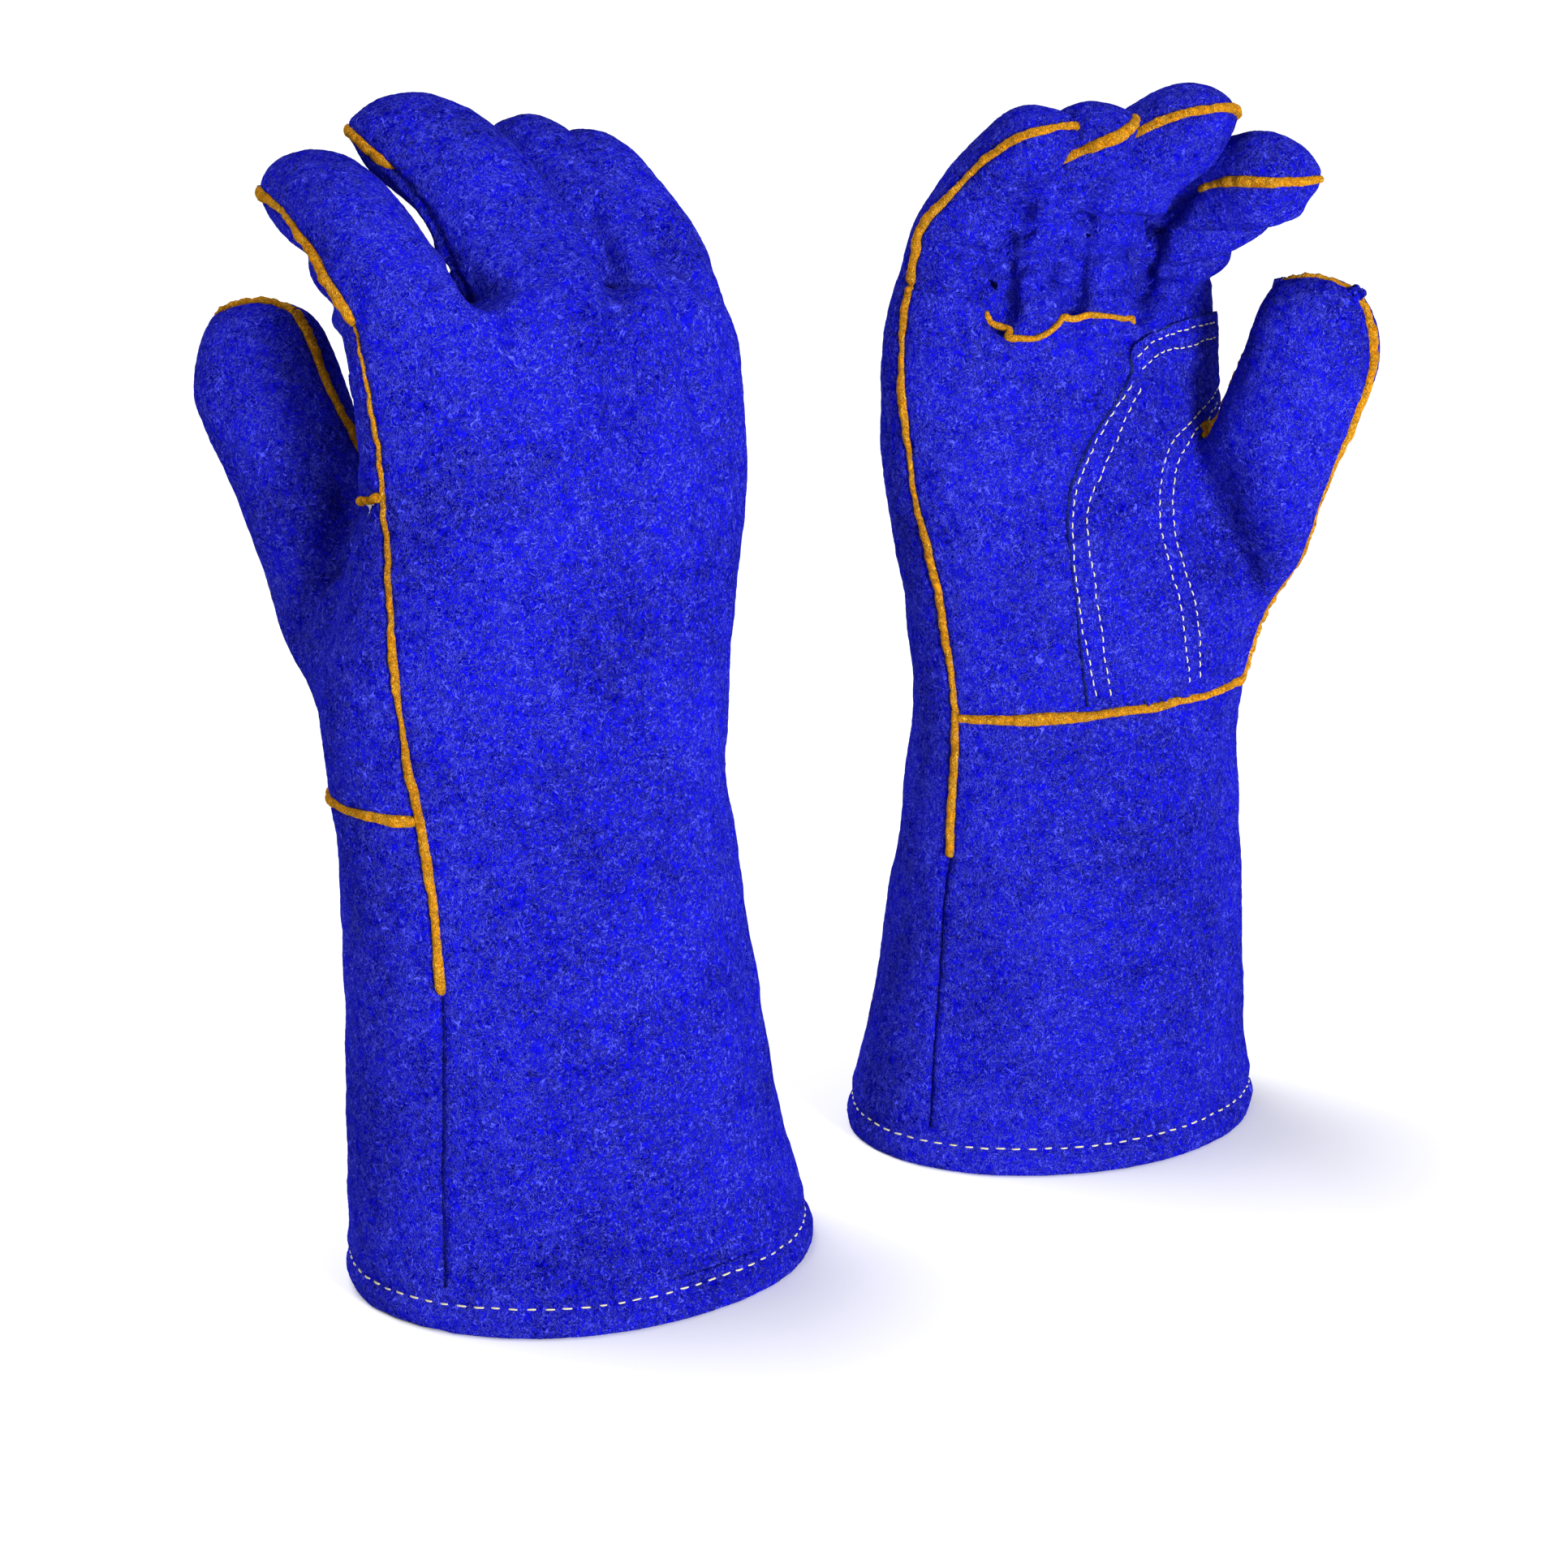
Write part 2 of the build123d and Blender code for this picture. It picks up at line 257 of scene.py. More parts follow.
def section(height):
    """Numbers of SECTIONS at a height, straight between its rows."""
    heights = [row[0] for row in SECTIONS]
    return [float(np.interp(height, heights, [row[i] for row in SECTIONS])) for i in range(1, 9)]


def hand_ring(height, pose):
    """Points around the glove at a height: back half from the index seam, then the palm half."""
    sway = pose["sway"]
    foot = pose["thumb_foot"] * float(np.interp(height, FOOT_HEIGHTS, FOOT_SHARES))
    tuck = pose["tuck"] * float(np.interp(height, (205, 218, 250, 268), (0, 1, 1, 0)))
    shift, width, back, palm, index_seam, pinky_seam, slope, side_slope = section(height)
    index_turn = math.radians(index_seam)
    pinky_turn = math.radians(180 + pinky_seam)
    points = []
    share = min(1.0, max(0.0, (height - ROOTS_FROM) / (ROOTS_TO - ROOTS_FROM)))
    halves = ((index_turn, pinky_turn, BACK_ROOTS), (pinky_turn, index_turn + 2 * math.pi, PALM_ROOTS))
    seam_shift = float(np.interp(height, THUMB_SEAM_HEIGHTS, THUMB_SEAM_SHIFTS))
    for start, end, roots in halves:
        columns = np.arange(HALF)
        columns = columns + (np.interp(columns, ROOT_COLUMNS, roots) - columns) * share
        if roots is PALM_ROOTS:
            columns = np.interp(columns, (0, HALF - 4, HALF), (0, HALF - 4 - seam_shift, HALF))
        turns = np.linspace(start, end, 300)
        depth = np.where(np.sin(turns) >= 0, back, palm)
        x, y = width * np.cos(turns), depth * np.sin(turns)
        run = np.concatenate([[0], np.cumsum(np.hypot(np.diff(x), np.diff(y)))])
        for at in columns * run[-1] / HALF:
            px, py = float(np.interp(at, run, x)), float(np.interp(at, run, y))
            lift = slope * py + side_slope * px
            turned = (math.atan2(py, px) + THUMB_YAW) / math.radians(38)
            drawn_in = (math.atan2(py, px) + math.radians(35)) / math.radians(30)
            grown = foot * math.exp(-turned * turned) - tuck * math.exp(-drawn_in * drawn_in)
            px += grown * math.cos(THUMB_YAW)
            py -= grown * math.sin(THUMB_YAW)
            points.append(Vector((px + shift + sway * height, py, height + lift)))
    return points


def hand_label(row, column):
    low = LEVELS[row]
    if low < HEM:
        return "hem_band"
    if column < HALF:
        return "back_panel"
    if low < WRIST:
        return "cuff_front_panel"
    if column >= AROUND - 3 and low < LEVELS[THUMB_ROWS[1]]:
        return "thumb_gore"
    if column == AROUND - 4 and low < LEVELS[THUMB_ROWS[0]]:
        return "thumb_gore"
    return "palm_panel"


def add_hand(cage):
    rings = [[cage.add(point) for point in hand_ring(level, cage.pose)] for level in LEVELS]
    for row in range(len(LEVELS) - 1):
        for column in range(AROUND):
            if THUMB_ROWS[0] <= row < THUMB_ROWS[1] and column in (AROUND - 5, AROUND - 4):
                continue
            low, high, right = rings[row], rings[row + 1], (column + 1) % AROUND
            cage.face((low[column], low[right], high[right], high[column]), hand_label(row, column))
    return rings


def add_crotches(cage, top):
    """One raised point between each pair of fingers."""
    crotches = []
    for column in (4, 8, 12):
        back, front = top[column], top[AROUND - column]
        middle = (cage.points[back] + cage.points[front]) / 2 + Vector((0, 0, 2.0))
        point = cage.add(middle)
        crotches.append(point)
        cage.face((top[column - 1], back, top[column + 1], point), "back_panel")
        cage.face((top[-column - 1], front, top[-column + 1], point), "palm_panel")
    return crotches


def mix(pair, share):
    return pair[0] + (pair[1] - pair[0]) * share


def finger_run(start, end, lean, share):
    """Direction of a finger, which curls towards the palm and leans sideways."""
    angle, sideways = start + (end - start) * share, mix(lean, share)
    forward, up = -math.sin(angle), math.cos(angle)
    return Vector((math.sin(sideways), forward * math.cos(sideways), up * math.cos(sideways)))


def add_finger(cage, name, base, seam_across):
    """Eight-sided tube along an arc, closed by a row of points along the fingertip seam."""
    finger = cage.curls[name]
    start, end, roll = (math.radians(finger[key]) for key in ("start", "end", "roll"))
    length = finger["radius"] * (end - start) + finger["depth"][1]
    lean = [math.atan2(part, length * 0.85) for part in finger["lean"]]
    tip_across = Vector((math.cos(roll), 0, math.sin(roll)))
    sides = [name + "_back"] * 4 + [name + "_front"] * 4
    step = length / FINGER_RINGS
    centre = sum((cage.points[i] for i in base), Vector()) / len(base)
    previous = base
    for ring in range(1, FINGER_RINGS + 1):
        share = ring / FINGER_RINGS
        last = ring == FINGER_RINGS
        run = finger_run(start, end, lean, (ring - 0.5) / FINGER_RINGS)
        centre = centre + run * step * (0.6 if last else 1.0)
        run = finger_run(start, end, lean, share)
        across = seam_across * max(0, 1 - 2 * share) + tip_across * min(1, 2 * share)
        across = (across - run * across.dot(run)).normalized()
        out = across.cross(run) * -1
        width = mix(finger["width"], share ** 1.5) * 1.06 * (0.8 if last else 1.0)
        depth = mix(finger["depth"], share ** 1.5) * 1.1 * (0.62 if last else 1.0)
        current = []
        for corner in range(8):
            aside, up = math.cos(corner * math.pi / 4), math.sin(corner * math.pi / 4)
            current.append(cage.add(centre + across * width * aside + out * depth * up))
        for face, side in zip(band(previous, current), sides):
            cage.face(face, side)
        previous = current
    tip = []
    for corner in (1, 2, 3):
        middle = (cage.points[previous[corner]] + cage.points[previous[8 - corner]]) / 2
        tip.append(cage.add(middle + run * step * 0.45))
    over = dict(zip((1, 2, 3, 7, 6, 5), tip + tip))
    for corner, side in enumerate(sides):
        after = (corner + 1) % 8
        face = [previous[corner], previous[after]] + [over[end] for end in (after, corner) if end in over]
        cage.face(face, side)


def add_thumb(cage, rings):
    """Twelve-sided tube from the hole in the side of the hand to the thumb tip."""
    low, high = THUMB_ROWS
    back, middle, palm = AROUND - 3, AROUND - 4, AROUND - 5
    base = [rings[high][middle], rings[high][back]]
    base += [rings[row][back] for row in range(high - 1, low - 1, -1)]
    base += [rings[low][middle], rings[low][palm]]
    base += [rings[row][palm] for row in range(low + 1, high + 1)]
    out = Vector((math.cos(THUMB_YAW), -math.sin(THUMB_YAW), 0))
    forward = Vector((-math.sin(THUMB_YAW), -math.cos(THUMB_YAW), 0))
    previous = base
    for number, (inner, outer, depth, twist) in enumerate(THUMB_RINGS):
        ends = []
        for away, height, ahead in (inner, outer):
            away += cage.pose["thumb_out"]
            point = out * away + forward * ahead + Vector((cage.pose["sway"] * height, 0, height))
            ends.append(point)
        centre, across = (ends[0] + ends[1]) / 2, ends[1] - ends[0]
        width = across.length / 2 * 1.05
        across.normalize()
        backwards = (-forward - across * (-forward).dot(across)).normalized()
        current = []
        for corner in range(12):
            turn = corner * math.pi / 6 + THUMB_TURN * twist
            offset = -across * width * math.cos(turn) + backwards * depth * 1.03 * math.sin(turn)
            current.append(cage.add(centre + offset))
        for corner in range(12):
            after = (corner + 1) % 12
            if corner < 6:
                label = "thumb_gore" if number == 0 else "thumb_back"
            else:
                label = "palm_panel" if number == 0 else "thumb_front"
            cage.face((previous[after], previous[corner], current[corner], current[after]), label)
        previous = current
    tip = []
    for corner in range(1, 6):
        middle = (cage.points[previous[corner]] + cage.points[previous[12 - corner]]) / 2
        tip.append(cage.add(middle + Vector((0, 0, THUMB_TOP[corner - 1]))))
    back_side = previous[:7]
    front_side = [previous[0]] + previous[11:5:-1]
    for label, side, turned in (("thumb_back", back_side, False), ("thumb_front", front_side, True)):
        fan = [(side[1], side[0], tip[0])]
        fan += [(side[i + 1], side[i], tip[i - 1], tip[i]) for i in range(1, 5)]
        fan.append((side[6], side[5], tip[4]))
        for corners in fan:
            cage.face(corners[::-1] if turned else corners, label)


def build_cage(glove):
    cage = Cage(glove)
    rings = add_hand(cage)
    top = rings[-1]
    crotches = add_crotches(cage, top)
    for number, (name, column) in enumerate(FINGERS.items()):
        index_side = top[0] if number == 0 else crotches[number - 1]
        pinky_side = top[HALF] if number == 3 else crotches[number]
        base = [index_side] + [top[column + i] for i in (1, 2, 3)] + [pinky_side]
        base += [top[(AROUND - column - i) % AROUND] for i in (3, 2, 1)]
        seam_across = (cage.points[index_side] - cage.points[pinky_side]).normalized()
        add_finger(cage, name, base, seam_across)
    add_thumb(cage, rings)
    return cage


# ---------------------------------------------------------------- fine surface
class Surface:
    """Fine mesh of one glove as arrays: points, normals, faces and labels."""

    def __init__(self, cage):
        self.divide([tuple(p) for p in cage.points], cage.faces, cage.labels, 2)

    def divide(self, points, faces, labels, levels):
        mesh = bpy.data.meshes.new("cage")
        mesh.from_pydata(points, [], faces)
        attribute = mesh.attributes.new("leather_piece", "INT", "FACE")
        attribute.data.foreach_set("value", labels)
        holder = bpy.data.objects.new("cage", mesh)
        bpy.context.scene.collection.objects.link(holder)
        modifier = holder.modifiers.new("smooth", "SUBSURF")
        modifier.levels = modifier.render_levels = levels
        modifier.boundary_smooth = "ALL"
        evaluated = holder.evaluated_get(bpy.context.evaluated_depsgraph_get())
        fine = bpy.data.meshes.new_from_object(evaluated)
        self.read(fine)
        bpy.data.objects.remove(holder)
        bpy.data.meshes.remove(mesh)
        bpy.data.meshes.remove(fine)

    def refine(self, levels):
        self.divide(self.points.tolist(), self.quads.tolist(), self.labels.tolist(), levels)

    def relax(self, weight, rounds):
        """Evens out the leather where weight is above zero."""
        pairs = np.vstack([self.quads[:, [i, (i + 1) % 4]] for i in range(4)])
        count = np.zeros(len(self.points))
        np.add.at(count, pairs[:, 0], 1)
        np.add.at(count, pairs[:, 1], 1)
        for _ in range(rounds):
            total = np.zeros_like(self.points)
            np.add.at(total, pairs[:, 0], self.points[pairs[:, 1]])
            np.add.at(total, pairs[:, 1], self.points[pairs[:, 0]])
            mean = total / count[:, None]
            self.points += (mean - self.points) * (weight * 0.6)[:, None]
        self.update_normals()

    def read(self, mesh):
        count = len(mesh.vertices)
        self.points = np.empty(count * 3)
        mesh.vertices.foreach_get("co", self.points)
        self.points = self.points.reshape(-1, 3)
        self.quads = np.empty(len(mesh.polygons) * 4, int)
        mesh.polygons.foreach_get("vertices", self.quads)
        self.quads = self.quads.reshape(-1, 4)
        self.labels = np.empty(len(mesh.polygons), int)
        mesh.attributes["leather_piece"].data.foreach_get("value", self.labels)
        used, flat = np.unique(self.quads, return_inverse=True)
        self.points, self.quads = self.points[used], flat.reshape(-1, 4)
        self.update_normals()

    def update_normals(self):
        corners = self.points[self.quads]
        face_normals = np.cross(corners[:, 2] - corners[:, 0], corners[:, 3] - corners[:, 1])
        normals = np.zeros_like(self.points)
        for i in range(4):
            np.add.at(normals, self.quads[:, i], face_normals)
        self.normals = unit(normals)

    def tree(self):
        return BVHTree.FromPolygons(self.points.tolist(), self.quads.tolist())

    def push(self, amount):
        """Moves every point along its normal."""
        self.points = self.points + self.normals * np.asarray(amount)[:, None]
        self.update_normals()


def distance_to(points, line):
    """Distance from each point to a line of samples, and how far along the line it is."""
    tree = tree_of(line)
    low, high = line.min(0) - 25, line.max(0) + 25
    near = np.all((points > low) & (points < high), axis=1)
    distance = np.full(len(points), 1e3)
    along = np.zeros(len(points))
    for i in np.nonzero(near)[0]:
        _, number, gap = tree.find(points[i])
        distance[i] = gap
        along[i] = number / (len(line) - 1)
    return distance, along


# ---------------------------------------------------------------- seams
def seam_paths(surface, labels_a, labels_b):
    """Chains of points along the border between two sets of leather pieces."""
    set_a = [LABELS.index(name) for name in labels_a]
    set_b = [LABELS.index(name) for name in labels_b]
    edges = {}
    for quad, label in zip(surface.quads.tolist(), surface.labels.tolist()):
        kind = 1 if label in set_a else 2 if label in set_b else 0
        if not kind:
            continue
        for i in range(4):
            a, b = quad[i], quad[(i + 1) % 4]
            key = (a, b) if a < b else (b, a)
            edges[key] = edges.get(key, 0) | kind
    links = {}
    for (a, b), kind in edges.items():
        if kind == 3:
            links.setdefault(a, []).append(b)
            links.setdefault(b, []).append(a)
    paths = []
    unused = set(links)
    while unused:
        ends = [v for v in unused if len(links[v]) == 1]
        start = ends[0] if ends else next(iter(unused))
        chain = [start]
        unused.discard(start)
        while True:
            following = [v for v in links[chain[-1]] if v in unused]
            if not following:
                break
            chain.append(following[0])
            unused.discard(following[0])
        paths.append(chain)
    return sorted(paths, key=len, reverse=True)


# ---------------------------------------------------------------- relief
# Soft hollows: points (x, y, z) without sway, depth, half width, and whether the first and last end fade
HOLLOWS = [
    ([(24, 6, 282), (26, 24, 274), (25, 27, 262), (22, 29, 244)], 3.6, 4.5, 0, 1),
    (
        [(-14, 0, 298), (-14, 10, 285), (-7, 27, 273), (-7, 29, 260), (-6, 32, 236), (-5, 33, 200)],
        4.2, 4.2, 0, 1,
    ),
    ([(-33, 3, 290), (-30, 20, 278), (-30, 25, 259), (-37, 25, 230), (-38, 25, 205)], 3.4, 4.2, 0, 1),
    ([(50, -24, 226), (52, -27, 206), (54, -31, 186), (50, -34, 172)], 3.0, 3.6, 0, 1),
    ([(57, 4, 226), (59, -6, 218), (64, -16, 210), (71, -27, 201), (76, -36, 194)], 2.8, 3.6, 0, 1),
    ([(60, 0, 200), (63, -12, 190), (67, -22, 180)], 1.2, 6.0, 1, 1),
    ([(32, -32, 300), (30, -19, 290), (28, -12, 277), (18, -21, 262)], 3.6, 3.6, 1, 0),
    ([(-8, -46, 304), (-5, -35, 295), (0, -18, 280), (-5, -19, 265)], 3.6, 3.6, 1, 0),
    ([(-32, -36, 304), (-26, -20, 287), (-27, -16, 270), (-31, -20, 260)], 4.0, 3.6, 1, 0),
    ([(16, -24, 259), (8, -27, 252), (2, -30, 238)], 2.2, 4.0, 0, 1),
    ([(-8, -22, 262), (-14, -27, 250), (-18, -30, 228)], 1.8, 4.5, 0, 1),
    ([(-31, -19, 262), (-24, -27, 246), (-22, -29, 222)], 2.2, 4.5, 0, 1),
    ([(-50, -8, 236), (-34, -24, 232), (-20, -30, 236)], 1.4, 3.5, 1, 1),
    ([(20, -27, 244), (34, -22, 240), (48, -14, 241)], 1.6, 3.0, 1, 1),
    ([(30, 34, 168), (2, 36, 160), (-30, 31, 166)], 1.3, 7.0, 1, 1),
    ([(-45, -22, 120), (-20, -36, 108), (10, -38, 112)], 1.5, 6.0, 1, 1),
    ([(50, -24, 124), (40, -32, 96), (44, -30, 62)], 1.6, 7.0, 1, 1),
    ([(-52, 16, 110), (-40, 30, 80), (-44, 30, 44)], 1.6, 7.0, 1, 1),
]
# Creases across the palm side of each finger: heights and depth
CREASES = {
    "index": (285, 274, 3.2), "middle": (286, 276, 3.2), "ring": (289, 279, 3.0), "pinky": (277, 267, 1.6),
}


def swayed(points, glove):
    sway = GLOVES[glove]["sway"]
    return [(x + sway * z, y, z) for x, y, z in points]


def on_surface(tree, points, count):
    """A smooth curve through given points, laid on the leather."""
    line = curve_through(points, count)
    for _ in range(3):
        line = smoothed(np.array([tuple(tree.find_nearest(Vector(p))[0]) for p in line]), 6)
    return line


def normals_on(tree):
    return lambda point: tree.find_nearest(Vector(point))[1]


def press_hollows(surface, glove):
    tree = surface.tree()
    amount = np.zeros(len(surface.points))
    for points, depth, width, first, last in HOLLOWS:
        line = on_surface(tree, swayed(points, glove), 60)
        distance, along = distance_to(surface.points, line)
        fade = np.ones(len(along))
        if first:
            fade = fade * np.clip(along / 0.3, 0, 1)
        if last:
            fade = fade * np.clip((1 - along) / 0.5, 0, 1)
        amount -= depth * fade * bell(distance, width)
        amount += depth * 0.22 * fade * bell(distance - width * 1.9, width * 0.8)
    surface.push(amount)


def press_creases(surface, glove):
    """Bends in the leather where the fingers close towards the palm."""
    x, y, z = surface.points.T
    amount = np.zeros(len(x))
    inner = np.clip(-surface.normals[:, 1] * 1.6 + 0.15, 0, 1)
    seed = GLOVES[glove]["seed"]
    for number, (finger, (high, low, depth)) in enumerate(CREASES.items()):
        own = np.zeros(len(x), bool)
        both_sides = [LABELS.index(finger + "_front"), LABELS.index(finger + "_back")]
        own[np.unique(surface.quads[np.isin(surface.labels, both_sides)])] = True
        wobble = wave(surface.points * np.array([1, 0.4, 0.1]), 14, seed + number) * 4
        tilt = (x - x[own].mean()) * (0.25 if number % 2 else -0.2)
        for height, strength in ((high, 1.0), (low, 0.8), (low - 9, 0.4)):
            gap = z + tilt + wobble - height
            amount -= own * inner * depth * strength * bell(gap, 2.0)
            amount += own * inner * depth * strength * 0.35 * bell(np.abs(gap) - 4.2, 2.2)
    surface.push(amount)


def press_seams(surface, lines):
    """Stitching pulls the leather in beside each seam and the layers swell next to it."""
    amount = np.zeros(len(surface.points))
    for chain in lines:
        line = surface.points[chain]
        distance, along = distance_to(surface.points, line)
        length = length_of(line)
        pull = 0.8 + 0.2 * np.sin(along * length * 2 * math.pi / 7.3) + 0.15 * np.sin(along * length * 1.9)
        amount = np.minimum(amount, -1.0 * pull * bell(distance, 1.8))
        amount = amount + 0.3 * bell(distance - 5.5, 3.0)
    surface.push(amount)


def cut_plain_seams(surface, chains):
    """Seams without a welt close to a narrow sharp groove."""
    for chain in chains:
        chain = np.array(chain, int)
        surface.points[chain] -= surface.normals[chain] * 1.1
    surface.update_normals()


def shape_hem(surface):
    """The turned hem rolls out a little below its row of stitches."""
    z = surface.points[:, 2]
    out = unit(surface.points * np.array([1, 1, 0]))
    roll = 1.3 * bell(z - 4.2, 3.6) - 0.8 * bell(z - STITCH_HEIGHT, 1.5) + 0.5 * bell(z - 13, 2.5)
    roll = roll * (z < 24)
    surface.points = surface.points + out * roll[:, None]
    surface.update_normals()


def ruffle(surface, glove):
    """Uneven hide: broad waves, small lumps and the raised nap."""
    points, seed = surface.points, GLOVES[glove]["seed"] * 7.3
    z = points[:, 2]
    calm = np.clip((z + 2) / 16, 0.25, 1)
    amount = 1.5 * wave(points * np.array([1, 1, 0.55]), 42, seed) * calm
    amount += 0.75 * wave(points, 17, seed + 5) * calm
    amount += 0.28 * wave(points, 6.5, seed + 9)
    amount += 0.16 * wave(points, 2.2, seed + 13)
    surface.push(amount)
    surface.push(0.13 * wave(surface.points, 0.9, seed + 17))


# ---------------------------------------------------------------- palm patch
# Edges of the patch and its rows of stitches, from the wrist up and round to the index side
PATCH_LEFT = [
    (-10, -34, 143.5), (-13.6, -33, 177), (-15.7, -31, 206), (-8, -31, 223), (2, -30, 234), (9, -28, 242.5),
    (11, -27, 250), (20, -25, 254.5), (35, -21, 257), (47, -15, 257.5), (53, -10, 257.5),
]
PATCH_RIGHT = [
    (34, -35, 145), (32, -36, 161), (27, -35, 186), (25.5, -32, 201), (33, -27, 215), (44, -20, 224),
    (52, -11, 229),
]
PATCH_STITCHES = [
    [
        (-7.3, -35, 146), (-13, -33, 177), (-14.6, -32, 200), (-12.3, -31, 212), (-3.7, -31, 226),
        (9.5, -28, 240),
    ],
    [
        (-2.9, -36, 146), (-6.1, -34, 171), (-9.9, -33, 199), (-6.8, -32, 210), (2.7, -31, 225),
        (13, -28, 239),
    ],
    [(11.5, -27, 247.5), (19.3, -26, 252), (32, -23, 254), (44, -17, 254.5), (51, -12, 254.5)],
    [(12.7, -28, 243.9), (22, -26, 248.5), (34, -23, 249), (44, -17, 250), (51, -12, 250)],
    [
        (26, -36, 147), (22, -36, 174), (17, -34, 196), (19, -31, 210), (24.6, -29, 221), (34, -25, 226),
        (44, -17, 231), (51, -11, 234),
    ],
    [
        (30.5, -36, 148), (28.6, -36, 170), (23.7, -35, 187), (22.5, -33, 201), (26, -29, 214),
        (33, -26, 221), (44, -19, 227), (51, -13, 230),
    ],
]
CROTCH_WELT = [
    (-31, -18, 263), (-29, -22, 256), (-22, -24, 255), (-12, -24, 260), (-7, -22, 262), (2, -24, 260),
    (16, -24, 259),
]


def patch_grid(surface, glove, rows, columns):
    """Points and normals of the palm patch, row by row from the wrist to the thumb crotch."""
    tree = surface.tree()
    left = curve_through(swayed(PATCH_LEFT, glove), rows)
    right = curve_through(swayed(PATCH_RIGHT, glove), rows)
    share = np.linspace(0, 1, columns)[None, :, None]
    grid = left[:, None] * (1 - share) + right[:, None] * share
    for _ in range(2):
        normals = np.empty_like(grid)
        for row in range(rows):
            for column in range(columns):
                spot, normal, _, _ = tree.find_nearest(Vector(grid[row, column]))
                grid[row, column], normals[row, column] = spot, normal
        grid[1:-1, 1:-1] = neighbours(grid)
    for _ in range(4):
        normals[1:-1, 1:-1] = neighbours(normals)
    return grid, unit(normals)


def patch_lift(flat, stitch_lines, seed):
    """Height of the patch over the palm: pulled down along the stitches, uneven between them."""
    lift = np.full(len(flat), 1.5)
    for line in stitch_lines:
        distance, _ = distance_to(flat, line)
        lift -= 0.75 * bell(distance, 1.1)
        lift += 0.2 * bell(distance - 2.6, 1.4)
    return np.maximum(lift + 0.22 * wave(flat, 5, seed) + 0.12 * wave(flat, 1.1, seed + 3), 0.6)


def grid_faces(rows, columns):
    """Quads of a grid of points, row by row."""
    corners = [row * columns + column for row in range(rows - 1) for column in range(columns - 1)]
    return [[a, a + 1, a + columns + 1, a + columns] for a in corners]


def grid_border(rows, columns):
    """The outermost points of a grid in order: first row, last column, last row, first column."""
    border = list(range(columns)) + [row * columns + columns - 1 for row in range(1, rows)]
    border += [(rows - 1) * columns + column for column in range(columns - 2, -1, -1)]
    return border + [row * columns for row in range(rows - 2, 0, -1)]


def patch_pieces(surface, glove, place):
    """Reinforcing patch with raw, slightly frayed edges, and its double rows of stitches."""
    seed = GLOVES[glove]["seed"]
    rows, columns = ((260, 80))
    grid, normals = patch_grid(surface, glove, rows, columns)
    flat, out = grid.reshape(-1, 3), normals.reshape(-1, 3)
    tree = surface.tree()
    stitch_lines = [on_surface(tree, swayed(line, glove), 200) for line in PATCH_STITCHES]
    top = flat + out * patch_lift(flat, stitch_lines, seed)[:, None]
    border = grid_border(rows, columns)
    across = unit(np.gradient(grid, axis=1).reshape(-1, 3))
    top[border] += (across * (0.5 * wave(flat, 1.6, seed + 6))[:, None])[border]
    upper, count = grid_faces(rows, columns), rows * columns
    faces = upper + [[v + count for v in face[::-1]] for face in upper]
    faces += band([v + count for v in border], border)
    points = np.vstack([top, flat - out * 0.3])
    patch = new_piece(glove + "_palm_patch_leather", points, faces, place, BLUE)
    patch.data.materials.append(BLUE_EDGE)
    for number, polygon in enumerate(patch.data.polygons[2 * len(upper):]):
        at_seam = columns + rows - 2 <= number < 2 * columns + rows - 3
        polygon.material_index = 0 if at_seam else 1
        polygon.use_smooth = False
    finish_piece(patch, glove, "hand", ["palm_patch"])
    patch_thread(glove, place, BVHTree.FromPolygons(top.tolist(), upper), stitch_lines)


def patch_thread(glove, place, skin, stitch_lines):
    points, faces = [], []
    for number, line in enumerate(stitch_lines):
        laid = np.array([tuple(skin.find_nearest(Vector(p))[0]) for p in line])
        seed = GLOVES[glove]["seed"] + number
        row_points, row_faces = stitch_row(laid, normals_on(skin), *PATCH_THREAD, seed)
        faces += [[v + len(points) for v in face] for face in row_faces]
        points += list(row_points)
    thread = new_piece(glove + "_patch_thread", points, faces, place, THREAD)
    finish_piece(thread, glove, "hand", ["patch_stitching"])


# ---------------------------------------------------------------- pieces
# Welts: spacing and corners of their rings, and how deep they sit in the seam. Stitches: rings and corners.
WELT_STEP = 0.7
WELT_CORNERS = 12
WELT_SUNK = 0.8
STITCH_RINGS = 7
STITCH_CORNERS = 6


def placed(glove):
    """Turns glove millimetres into metres in the shared frame, under the CAD hem of that glove."""
    low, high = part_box(glove + "_hem_band")
    centre = (Vector(low) + Vector(high)) / 2
    turn = Matrix.Rotation(GLOVES[glove]["turn"], 4, "Z")
    return Matrix.Translation((centre.x, centre.y, 0)) @ turn @ Matrix.Scale(MM, 4)


def new_piece(name, points, faces, place, material, normals=None):
    mesh = bpy.data.meshes.new(name)
    world = (np.asarray(points) @ np.array(place.to_3x3()).T) + np.array(place.translation)
    mesh.from_pydata(world.tolist(), [], [list(map(int, f)) for f in faces])
    mesh.validate()
    mesh.polygons.foreach_set("use_smooth", [True] * len(mesh.polygons))
    if normals is not None:
        turned = np.asarray(normals) @ np.array(place.to_3x3().normalized()).T
        mesh.normals_split_custom_set_from_vertices(turned.tolist())
    mesh.materials.append(material)
    piece = bpy.data.objects.new(name, mesh)
    bpy.context.scene.collection.objects.link(piece)
    return piece


